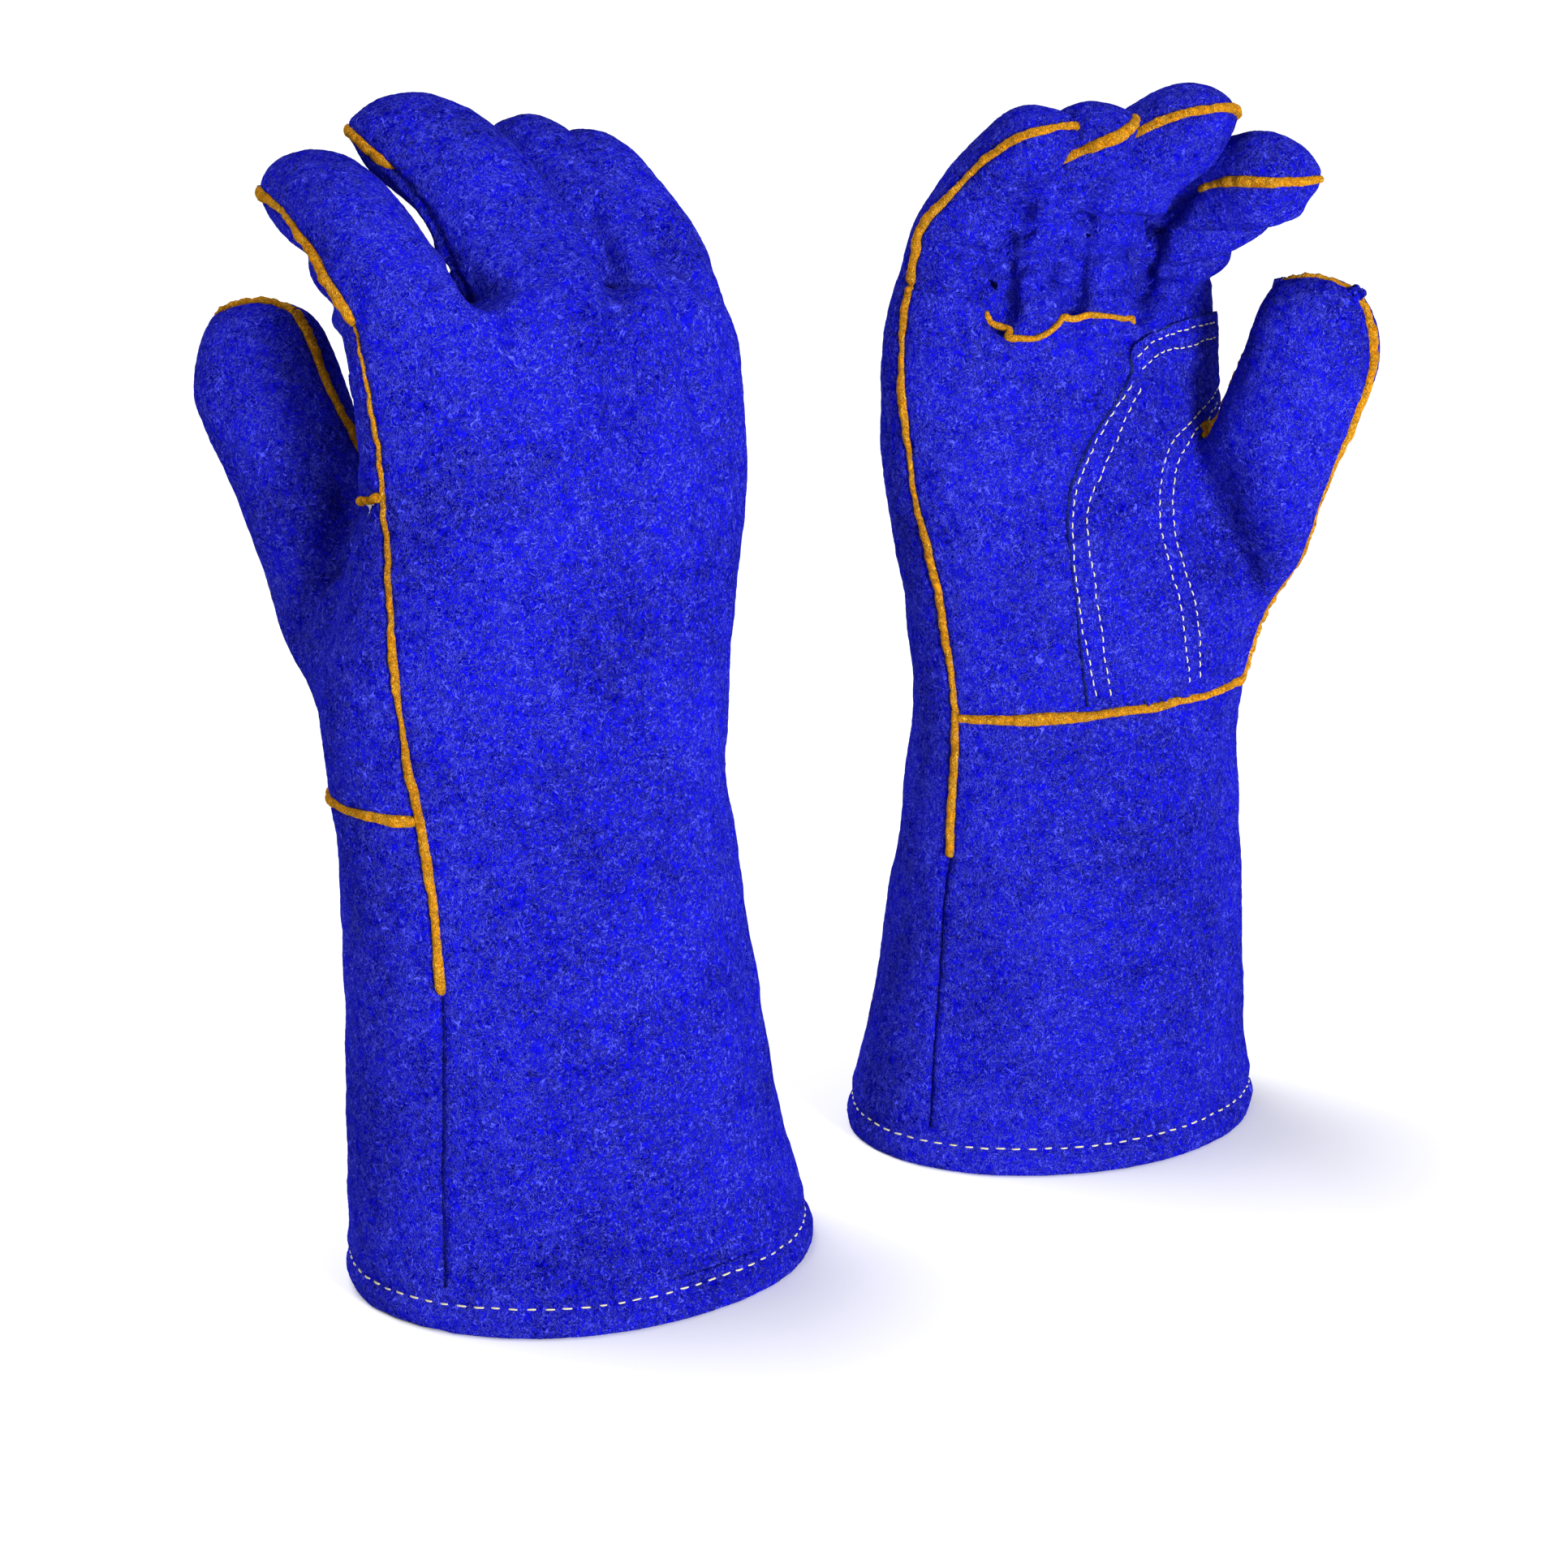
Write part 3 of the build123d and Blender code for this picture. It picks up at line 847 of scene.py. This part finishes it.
def shell_of(surface, chosen, thickness):
    """Closed leather: the chosen faces, an inner copy and a rim between them."""
    quads = surface.quads[chosen]
    used, flat = np.unique(quads, return_inverse=True)
    quads = flat.reshape(-1, 4)
    count = len(used)
    normals = surface.normals[used]
    outer = surface.points[used]
    inner = outer - normals * thickness
    edges = {}
    for quad in quads.tolist():
        for i in range(4):
            a, b = quad[i], quad[(i + 1) % 4]
            if (b, a) in edges:
                del edges[(b, a)]
            else:
                edges[(a, b)] = True
    faces = [list(q) for q in quads] + [[v + count for v in q[::-1]] for q in quads]
    faces += [[b, a, a + count, b + count] for a, b in edges]
    return np.vstack([outer, inner]), faces, np.vstack([normals, -normals])


def welt_mesh(line, surface, width, height, seed, thin_above):
    """Folded leather strip that stands proud along a seam, with a soft uneven edge."""
    count = max(8, int(length_of(line) / WELT_STEP))
    line = resample(line, count)
    tree = tree_of(surface.points)
    normals = unit(smoothed(np.array([surface.normals[tree.find(p)[1]] for p in line]), 6))
    tangents = unit(np.gradient(line, axis=0))
    sides = unit(np.cross(tangents, normals))
    points = []
    for i in range(count):
        place = Vector(line[i])
        swell = 1 + 0.55 * noise.noise(place * 0.05 + Vector((seed, 0, 0)))
        swell += 0.14 * noise.noise(place * 0.3 + Vector((0, seed, 0)))
        swell *= float(np.interp(place.z, (thin_above - 12, thin_above), (1, 0.6)))
        wander = 0.45 * noise.noise(place * 0.12 + Vector((0, 0, seed)))
        end = min(1.0, (i + 0.6) / 3, (count - i - 0.4) / 3)
        for j in range(WELT_CORNERS):
            aside = math.cos(2 * math.pi * j / WELT_CORNERS)
            up = math.sin(2 * math.pi * j / WELT_CORNERS)
            square = math.copysign(abs(aside) ** 0.7, aside)
            across = square * width / 2 * swell * (0.55 + 0.45 * end)
            up = up * (height if up > 0 else WELT_SUNK) * swell * (0.4 + 0.6 * end)
            nap = 0.2 * noise.noise(Vector((i * 0.8, j * 0.9, seed * 3.1)))
            points.append(line[i] + sides[i] * (across + wander + nap) + normals[i] * (up + nap))
    return np.array(points), capped_tube(count, WELT_CORNERS)


def stitch_row(line, normals_of, pitch, length, thread, seed):
    """Row of separate thread stitches: each rises from its needle hole, crosses and sinks again."""
    spread = random.Random(seed)
    count = int(length_of(line) / pitch)
    fine = resample(line, count * 8 + 1)
    points, faces = [], []
    for number in range(count):
        middle = number * 8 + 4
        centre = fine[middle]
        along = fine[min(middle + 3, len(fine) - 1)] - fine[max(middle - 3, 0)]
        along /= np.linalg.norm(along)
        normal = np.array(normals_of(centre))
        side = np.cross(along, normal)
        side /= np.linalg.norm(side)
        along = along + side * spread.uniform(-0.07, 0.07)
        reach = length * spread.uniform(0.86, 1.12)
        centre = centre + side * spread.uniform(-0.15, 0.15) + along * spread.uniform(-0.2, 0.2)
        faces += capped_tube(STITCH_RINGS, STITCH_CORNERS, len(points))
        for ring in range(STITCH_RINGS):
            t = ring / (STITCH_RINGS - 1) * 2 - 1
            rise = 0.25 * (1 - t * t) - 0.55 * abs(t) ** 5
            radius = thread / 2 * (1 - 0.35 * t ** 4)
            spot = centre + along * (t * reach / 2) + normal * rise
            for corner in range(STITCH_CORNERS):
                turn = 2 * math.pi * corner / STITCH_CORNERS + ring * 0.3
                points.append(spot + side * radius * math.cos(turn) + normal * radius * math.sin(turn))
    return np.array(points), faces


# ---------------------------------------------------------------- materials
def material(name):
    made = bpy.data.materials.new(name)
    made.use_nodes = True
    tree = made.node_tree
    tree.nodes.clear()
    output = tree.nodes.new("ShaderNodeOutputMaterial")
    shader = tree.nodes.new("ShaderNodeBsdfPrincipled")
    tree.links.new(shader.outputs["BSDF"], output.inputs["Surface"])
    return made, tree, shader


def feed(tree, socket, value):
    """Gives a socket a number or colour, or joins it to a Wire."""
    if isinstance(value, Wire):
        tree.links.new(value.socket, socket)
    else:
        socket.default_value = value


def node(tree, kind, **inputs):
    made = tree.nodes.new(kind)
    for key, value in inputs.items():
        feed(tree, made.inputs[key.replace("_", " ")], value)
    return made


class Wire:
    """The output of a shader node, which adds, subtracts and multiplies like a number."""

    def __init__(self, tree, socket):
        self.tree = tree
        self.socket = socket

    def maths(self, operation, *values):
        made = self.tree.nodes.new("ShaderNodeMath")
        made.operation = operation
        for socket, value in zip(made.inputs, values):
            feed(self.tree, socket, value)
        return Wire(self.tree, made.outputs[0])

    def __add__(self, other):
        return self.maths("ADD", self, other)

    def __sub__(self, other):
        return self.maths("SUBTRACT", self, other)

    def __mul__(self, other):
        return self.maths("MULTIPLY", self, other)

    def clamped(self):
        self.socket.node.use_clamp = True
        return self


def mottle(place, scale, detail=2.0, roughness=0.5, distortion=0.0, offset=None):
    """Noise through the piece's own space."""
    tree = place.tree
    made = node(tree, "ShaderNodeTexNoise", Scale=scale, Detail=detail, Roughness=roughness)
    made.inputs["Distortion"].default_value = distortion
    if offset is not None:
        shifted = tree.nodes.new("ShaderNodeVectorMath")
        shifted.inputs[1].default_value = offset
        feed(tree, shifted.inputs[0], place)
        place = Wire(tree, shifted.outputs[0])
    feed(tree, made.inputs["Vector"], place)
    return Wire(tree, made.outputs["Fac"])


def ridge(value, sharpness):
    """Thin curly lines where a noise crosses its middle value."""
    centred = value.maths("ABSOLUTE", value - 0.5)
    return value.maths("SUBTRACT", 1.0, centred * sharpness).clamped()


def mixed(share, low, high):
    tree = share.tree
    made = tree.nodes.new("ShaderNodeMix")
    made.data_type = "RGBA"
    for socket, value in zip((made.inputs[0], made.inputs[6], made.inputs[7]), (share, low, high)):
        feed(tree, socket, value)
    return Wire(tree, made.outputs[2])


def dress(shader, colour, height, strength, depth, **settings):
    """Colour, raised relief of a given depth in metres, and the constants of the surface."""
    tree = colour.tree
    feed(tree, shader.inputs["Base Color"], colour)
    relief = node(tree, "ShaderNodeBump", Strength=strength, Distance=depth, Height=height)
    tree.links.new(relief.outputs["Normal"], shader.inputs["Normal"])
    for name, value in settings.items():
        shader.inputs[name.replace("_", " ")].default_value = value


def own_space(tree):
    return Wire(tree, tree.nodes.new("ShaderNodeTexCoord").outputs["Object"])


# Suede fibres: noise scale, sharpness of the curls and how much they show
CURLY_FIBRES = ((270, 30, 1.0), (310, 28, 1.0), (360, 25, 1.0), (420, 22, 0.9))


def suede(name, deep, body, fibre_and_highlight, sheen, bump=1.0):
    """Napped split leather: a web of short curly fibres over a darker tone. The darker tone is partly cloudy
    dye and partly painted shade in the pits, with thin painted shadow lines under the fibres. The fibres'
    lighter colour is partly painted highlight.
    """
    made, tree, shader = material(name)
    place = own_space(tree)
    curls = []
    for number, (scale, sharp, share) in enumerate(CURLY_FIBRES):
        value = mottle(place, scale, 1.0, 0.5, 2.2, (number * 3.1, number * 1.7, number))
        gate = mottle(place, scale * 0.8, 1.0, 0.5, 0.0, (number * 7.7, 4.0, number * 2.0))
        gate = ((gate - 0.4) * 9).clamped()
        curls.append(ridge(value, sharp) * gate * share)
    web = curls[0]
    for curl in curls[1:]:
        web = web.maths("MAXIMUM", web, curl)
    grain = mottle(place, 1300, 3, 0.7)
    # the pits raise the bump and also darken the colour below as painted shade
    pits = mottle(place, 520, 3, 0.65)
    cloud = mottle(place, 24, 4, 0.62)
    patchy = mottle(place, 90, 3, 0.6, 0.5)
    # thin dark lines that are painted shadows under the fibres
    fibre_shadow_lines = ridge(mottle(place, 380, 1.0, 0.5, 1.8, (5.0, 9.0, 2.0)), 9)
    # darker tone: cloudy dye, plus painted shade from the pits and the painted shadow lines
    dye_and_shade = cloud * 0.8 + patchy * 0.5 + pits * 0.9
    dye_and_shade = ((dye_and_shade - 0.62) * 1.9 - fibre_shadow_lines * 0.7).clamped()
    share = (web * (cloud * 0.9 + 0.35) * 0.95).clamped()
    # the lighter fibre colour is partly the nap's own colour and partly painted highlight on the fibre tops
    colour = mixed(share, mixed(dye_and_shade, deep, body), fibre_and_highlight)
    height = web * 1.1 + grain * 0.3 + pits * 1.2
    dress(
        shader, colour, height, 1.0, 0.0006 * bump, Roughness=0.95, Specular_IOR_Level=0.0,
        Sheen_Weight=0.004, Sheen_Roughness=0.5, Sheen_Tint=sheen,
    )
    return made


def thread_material():
    made, tree, shader = material("cream_thread")
    place = own_space(tree)
    strands = mottle(place, 2400, 2, 0.5, 2.0)
    base = mixed(mottle(place, 70, 2, 0.5), (0.42, 0.38, 0.2, 1), (0.62, 0.6, 0.44, 1))
    colour = mixed(strands * 0.6, base, (0.36, 0.3, 0.16, 1))
    dress(shader, colour, strands, 0.5, 0.0001, Roughness=0.6, Sheen_Weight=0.2)
    return made


def fleece_material():
    made, tree, shader = material("fleece_lining")
    place = own_space(tree)
    tufts = mottle(place, 420, 4, 0.7, 1.2)
    loops = ridge(mottle(place, 700, 2, 0.5, 1.5), 6)
    colour = mixed(tufts, (0.62, 0.58, 0.5, 1), (0.88, 0.86, 0.8, 1))
    dress(shader, colour, tufts + loops, 0.8, 0.0006, Roughness=0.95, Sheen_Weight=0.4)
    return made


def canvas_material():
    """Plain weave of two crossing sets of yarns."""
    made, tree, shader = material("canvas_lining")
    place = own_space(tree)
    yarns = []
    for direction in ("X", "Z"):
        yarn = node(tree, "ShaderNodeTexWave", Scale=YARN_SCALE, Distortion=0.6, Detail=1.0, Vector=place)
        yarn.bands_direction = direction
        yarns.append(Wire(tree, yarn.outputs["Fac"]))
    weave = place.maths("MAXIMUM", *yarns)
    slub = mottle(place, 240, 3, 0.6)
    colour = mixed(weave * slub, (0.5, 0.45, 0.35, 1), (0.86, 0.82, 0.72, 1))
    dress(shader, colour, weave, 0.6, 0.0002, Roughness=0.9)
    return made


YARN_SCALE = 1100 / 6.2832
# each suede's darkest colour is partly dye and partly painted shade in pits; its fibre colour is partly
# painted highlight on fibre tops
BLUE = suede(
    "blue_suede", (0.0005, 0.0005, 0.1, 1), (0.004, 0.004, 0.45, 1), (0.09, 0.105, 1, 1), (0.3, 0.35, 1, 1)
)
BLUE_EDGE = suede(
    "blue_cut_edge", (0.01, 0.02, 0.25, 1), (0.04, 0.07, 0.42, 1), (0.22, 0.32, 0.8, 1), (0.6, 0.7, 1, 1)
)
GOLD = suede(
    "gold_welt", (0.2, 0.06, 0.001, 1), (0.5, 0.2, 0.006, 1), (0.8, 0.44, 0.05, 1), (1, 0.8, 0.5, 1), 0.7
)
THREAD = thread_material()
FLEECE = fleece_material()
CANVAS = canvas_material()


# ---------------------------------------------------------------- one glove
# tilt of the thumb from upright, for a direction of the digit that finish_piece works out and does not use
THUMB_TILT = math.radians(52)


def finish_piece(piece, glove, body, nodes=()):
    """Hides the CAD parts that a piece stands for; pieces of the hand hang on the hand's empty, the others
    only get their transform baked in.
    """
    if nodes:
        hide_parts(*[glove + "_" + name for name in nodes])
    if body == "hand":
        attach(piece, glove + "_hand")
        return
    if body == "thumb":
        run = Vector((math.sin(THUMB_TILT), 0, math.cos(THUMB_TILT)))
        run.rotate(Matrix.Rotation(-THUMB_YAW, 3, "Z"))
    else:
        run = Vector((0, -KNUCKLE_SLOPE, 1)).normalized()
    run.rotate(Matrix.Rotation(GLOVES[glove]["turn"], 3, "Z"))
    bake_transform(piece)


def leather_pieces(glove, surface, place):
    """One closed piece of leather for each label but the hem band."""
    for number, label in enumerate(LABELS):
        chosen = surface.labels == number
        if label == "hem_band":
            continue
        points, faces, normals = shell_of(surface, chosen, LEATHER)
        piece = new_piece(f"{glove}_{label}_leather", points, faces, place, BLUE, normals)
        part = label.rsplit("_", 1)[0]
        body = part if part in FINGERS or part == "thumb" and label != "thumb_gore" else "hand"
        finish_piece(piece, glove, body, [label])


# how the hem turns under: inwards and up from its foot
HEM_TURN = [(0.5, -0.35), (1.6, -0.5), (2.7, -0.2), (3.3, 0.7), (3.4, 3.0), (3.5, 6.0), (3.6, 9.0)]
HEM_TURN += [(3.6, 11.0), (3.0, 11.4), (2.4, 11.0)]


def hem_piece(glove, surface, place):
    """Turned hem: the outer leather runs under at the foot and comes up again inside."""
    chosen = surface.labels == LABELS.index("hem_band")
    quads = surface.quads[chosen]
    used = np.unique(quads)
    height = surface.points[used, 2]
    foot = used[height < height.min() + 0.01]
    centre = surface.points[foot].mean(0)
    turns = np.arctan2(surface.points[foot, 1] - centre[1], surface.points[foot, 0] - centre[0])
    foot = foot[np.argsort(turns)]
    rim = surface.points[foot]
    inwards = unit((centre - rim) * np.array([1, 1, 0]))
    ring = len(foot)
    flat = {v: i for i, v in enumerate(used)}
    points = [surface.points[v] for v in used]
    faces = [[flat[v] for v in quad] for quad in quads]
    previous = [flat[v] for v in foot]
    for away, up in HEM_TURN:
        current = []
        for i in range(ring):
            wobble = 0.5 * noise.noise(Vector(rim[i]) * 0.05) if up > 6 else 0.0
            points.append(rim[i] + inwards[i] * away + np.array([0, 0, up + wobble]))
            current.append(len(points) - 1)
        faces += band(current, previous)
        previous = current
    points = np.array(points)
    points[:, 2] = np.maximum(points[:, 2] - points[:, 2].min(), 0)
    piece = new_piece(glove + "_hem_turn", points, faces, place, BLUE)
    finish_piece(piece, glove, "hand", ["hem_band"])


def lining_tube(glove, heights, inset, thickness, closed_top, seed):
    """Tube of lining cloth that follows the glove's own sections a little way inside."""
    around, rings = 128, []
    for height in heights:
        shift, width, back, palm, _, _, slope, side_slope = section(height)
        turns = np.linspace(0, 2 * math.pi, around, endpoint=False)
        depth = np.where(np.sin(turns) >= 0, back, palm)
        x, y = (width - inset) * np.cos(turns), (depth - inset) * np.sin(turns)
        z = height + slope * y + side_slope * x
        rings.append(np.stack([x + shift + GLOVES[glove]["sway"] * height, y, z], 1))
    outer = np.vstack(rings)
    count = len(rings)
    centre = np.repeat([ring.mean(0) for ring in rings], around, axis=0)
    out = unit((outer - centre) * np.array([1, 1, 0]))
    outer = outer + out * (0.7 * wave(outer, 15, seed) + 0.3 * wave(outer, 4, seed + 2) - 0.6)[:, None]
    inner = outer - out * thickness
    faces = tube(count, around)
    size = count * around
    faces += [[v + size for v in face[::-1]] for face in faces]
    first, last = range(around), range(size - around, size)
    faces += band([v + size for v in first], first)
    if closed_top:
        faces += [list(last), [v + size for v in last][::-1]]
    else:
        faces += band(last, [v + size for v in last])
    return np.vstack([outer, inner]), faces


# heights, distance inside the leather and thickness of the two linings
SLEEVE = dict(heights=np.linspace(8, 141, 90), inset=4.6, thickness=0.9, closed_top=False)
SOCK = dict(heights=np.linspace(142, 262, 90), inset=5.0, thickness=2.2, closed_top=True)


def linings(glove, place):
    """Canvas sleeve in the cuff and fleece sock in the hand, seen through the open cuff."""
    seed = GLOVES[glove]["seed"]
    points, faces = lining_tube(glove, seed=seed, **SLEEVE)
    sleeve = new_piece(glove + "_canvas_sleeve", points, faces, place, CANVAS)
    finish_piece(sleeve, glove, "hand", ["cuff_lining"])
    points, faces = lining_tube(glove, seed=seed + 5, **SOCK)
    sock = new_piece(glove + "_fleece_sock", points, faces, place, FLEECE)
    finish_piece(sock, glove, "hand", ["hand_lining"])


def part_of(line, first, last):
    """The piece of a line between two shares of its length."""
    fine = resample(line, 400)
    return fine[int(first * 399): int(last * 399) + 1]


def add_welt(glove, surface, place, name, line, body, size, seed, thin_above=1e3):
    points, faces = welt_mesh(line, surface, *size, seed, thin_above)
    piece = new_piece(f"{glove}_{name}_strip", points, faces, place, GOLD)
    finish_piece(piece, glove, body, [] if name.startswith("thumb_foot") else [name])


# the share of each fingertip seam that has a welt
TIP_WELTS = {"index": (0.0, 0.72), "middle": (0.28, 0.72), "ring": (0.33, 0.68), "pinky": (0.3, 1.0)}


def above(line, height):
    line = resample(line, 600)
    return line[line[:, 2] >= height]


def seams_of(surface):
    """Every sewn seam as a chain of point numbers on the fine surface."""
    points, seams = surface.points, {}
    palm_side = ["palm_panel", "cuff_front_panel", "thumb_gore"]
    for chain in seam_paths(surface, ["back_panel"], palm_side)[:2]:
        if points[chain[0], 2] > points[chain[-1], 2]:
            chain = chain[::-1]
        seams["index_side" if points[chain[-1], 0] > 0 else "pinky_side"] = chain
    seams["wrist"] = seam_paths(surface, ["cuff_front_panel"], ["palm_panel", "thumb_gore"])[0]
    for name in FINGERS:
        chain = seam_paths(surface, [name + "_back"], [name + "_front"])[0]
        seams[name] = chain if points[chain[0], 0] > points[chain[-1], 0] else chain[::-1]
    seams["thumb"] = seam_paths(surface, ["thumb_back"], ["thumb_front"])[0]
    for number, chain in enumerate(seam_paths(surface, ["thumb_gore"], ["palm_panel"])):
        seams[f"thumb_foot_{number}"] = chain
    return seams


def add_welts(glove, surface, place, seams):
    seed = GLOVES[glove]["seed"]
    lines = {name: surface.points[chain] for name, chain in seams.items()}
    for side, thin_above in (("index", 195), ("pinky", 1e3)):
        line = above(lines[side + "_side"], SIDE_WELT_FOOT)
        add_welt(glove, surface, place, side + "_side_welt", line, "hand", (2.4, 1.5), seed, thin_above)
    add_welt(glove, surface, place, "wrist_welt", lines["wrist"], "hand", (3.0, 1.7), seed + 1)
    crotch = on_surface(surface.tree(), swayed(CROTCH_WELT, glove), 160)
    add_welt(glove, surface, place, "crotch_welt", crotch, "hand", (1.9, 1.4), seed + 9)
    for name, (first, last) in TIP_WELTS.items():
        line = part_of(lines[name], first, last)
        add_welt(glove, surface, place, name + "_welt", line, name, (3.0, 1.8), seed + 2)
    add_welt(glove, surface, place, "thumb_welt", lines["thumb"], "thumb", (2.9, 1.7), seed + 3)
    for name, line in lines.items():
        if name.startswith("thumb_foot"):
            add_welt(glove, surface, place, name + "_welt", line, "hand", (2.6, 1.6), seed + 4)


# a distance from the middle of the cuff that is outside the leather
OUTSIDE = 120


def hem_stitches(glove, surface, place):
    """One row of stitches round the cuff."""
    tree = surface.tree()
    line = []
    for turn in np.linspace(0, 2 * math.pi, 241):
        outwards = Vector((math.cos(turn), math.sin(turn), 0))
        start = outwards * OUTSIDE + Vector((0, 0, STITCH_HEIGHT))
        spot, _, _, _ = tree.ray_cast(start, -outwards)
        line.append(tuple(spot))
    points, faces = stitch_row(np.array(line), normals_on(tree), *HEM_THREAD, GLOVES[glove]["seed"])
    piece = new_piece(glove + "_hem_thread", points, faces, place, THREAD)
    finish_piece(piece, glove, "hand", ["hem_stitching"])


def plain_seams(surface, seams):
    """Seams, or parts of them, that carry no welt."""
    plain = []
    for side in ("index_side", "pinky_side"):
        plain.append([v for v in seams[side] if surface.points[v, 2] < SIDE_WELT_FOOT])
    for name, (first, last) in TIP_WELTS.items():
        chain = seams[name]
        plain.append(chain[: int(first * len(chain))])
        plain.append(chain[int(last * len(chain)):])
    return plain


# the leather round the root of the thumb is evened out
THUMB_ROOT = (58, -24, 190)
ROOT_RADIUS = 22


def build_glove(glove):
    """All pieces of one glove, from its cage to its stitches."""
    place = placed(glove)
    surface = Surface(build_cage(glove))
    root = np.array(swayed([THUMB_ROOT], glove)[0])
    surface.relax(bell(np.linalg.norm((surface.points - root) * (1, 1, 0.7), axis=1), ROOT_RADIUS), 16)
    surface.refine(FINE - 2)
    seams = seams_of(surface)
    shape_hem(surface)
    press_hollows(surface, glove)
    press_creases(surface, glove)
    press_seams(surface, seams.values())
    ruffle(surface, glove)
    cut_plain_seams(surface, plain_seams(surface, seams))
    surface.points[:, 2] = np.maximum(surface.points[:, 2], 0)
    leather_pieces(glove, surface, place)
    hem_piece(glove, surface, place)
    linings(glove, place)
    add_welts(glove, surface, place, seams)
    patch_pieces(surface, glove, place)
    hem_stitches(glove, surface, place)


# ---------------------------------------------------------------- studio
def lamp(name, kind, place, target, energy, **settings):
    data = bpy.data.lights.new(name, kind)
    data.energy = energy
    for setting, value in settings.items():
        setattr(data, setting, value)
    made = bpy.data.objects.new(name, data)
    made.location = place
    made.rotation_euler = (Vector(target) - Vector(place)).to_track_quat("-Z", "Y").to_euler()
    bpy.context.scene.collection.objects.link(made)


# half the side of the floor in metres, so that its edge is below the picture's horizon
FLOOR_REACH = 60


def studio():
    world = bpy.data.worlds.new("studio")
    world.use_nodes = True
    sky = world.node_tree.nodes["Background"]
    sky.inputs["Color"].default_value = (1, 1, 1, 1)
    sky.inputs["Strength"].default_value = 0.5
    bpy.context.scene.world = world
    made, _, shader = material("pale_floor")
    shader.inputs["Base Color"].default_value = (0.95, 0.95, 0.95, 1)
    shader.inputs["Roughness"].default_value = 0.9
    mesh = bpy.data.meshes.new("floor")
    far = FLOOR_REACH
    mesh.from_pydata([(-far, -far, 0), (far, -far, 0), (far, far, 0), (-far, far, 0)], [], [(0, 1, 2, 3)])
    mesh.materials.append(made)
    floor = bpy.data.objects.new("floor", mesh)
    bpy.context.scene.collection.objects.link(floor)
    lamp("key", "SUN", (-0.65, 1.07, 2.1), (0, 0, 0), 2.55, angle=math.radians(45))
    lamp("fill", "AREA", (0.13, -1.58, 0.3), (0, 0, 0.2), 44, shape="DISK", size=0.5)
    bpy.context.scene.view_settings.view_transform = "Standard"


def camera():
    """A long lens a little above the fingertips, looking 15 degrees down and 30 degrees to the right."""
    data = bpy.data.cameras.new("camera")
    data.lens = 71
    data.sensor_width = 36
    data.clip_start = 0.01
    eye = bpy.data.objects.new("camera", data)
    eye.location = (-0.4539, -0.7656, 0.361)
    eye.rotation_euler = (math.radians(90 - 14.8), 0, math.radians(-30))
    bpy.context.scene.collection.objects.link(eye)
    bpy.context.scene.camera = eye


for glove_name in GLOVES:
    build_glove(glove_name)
studio()
camera()
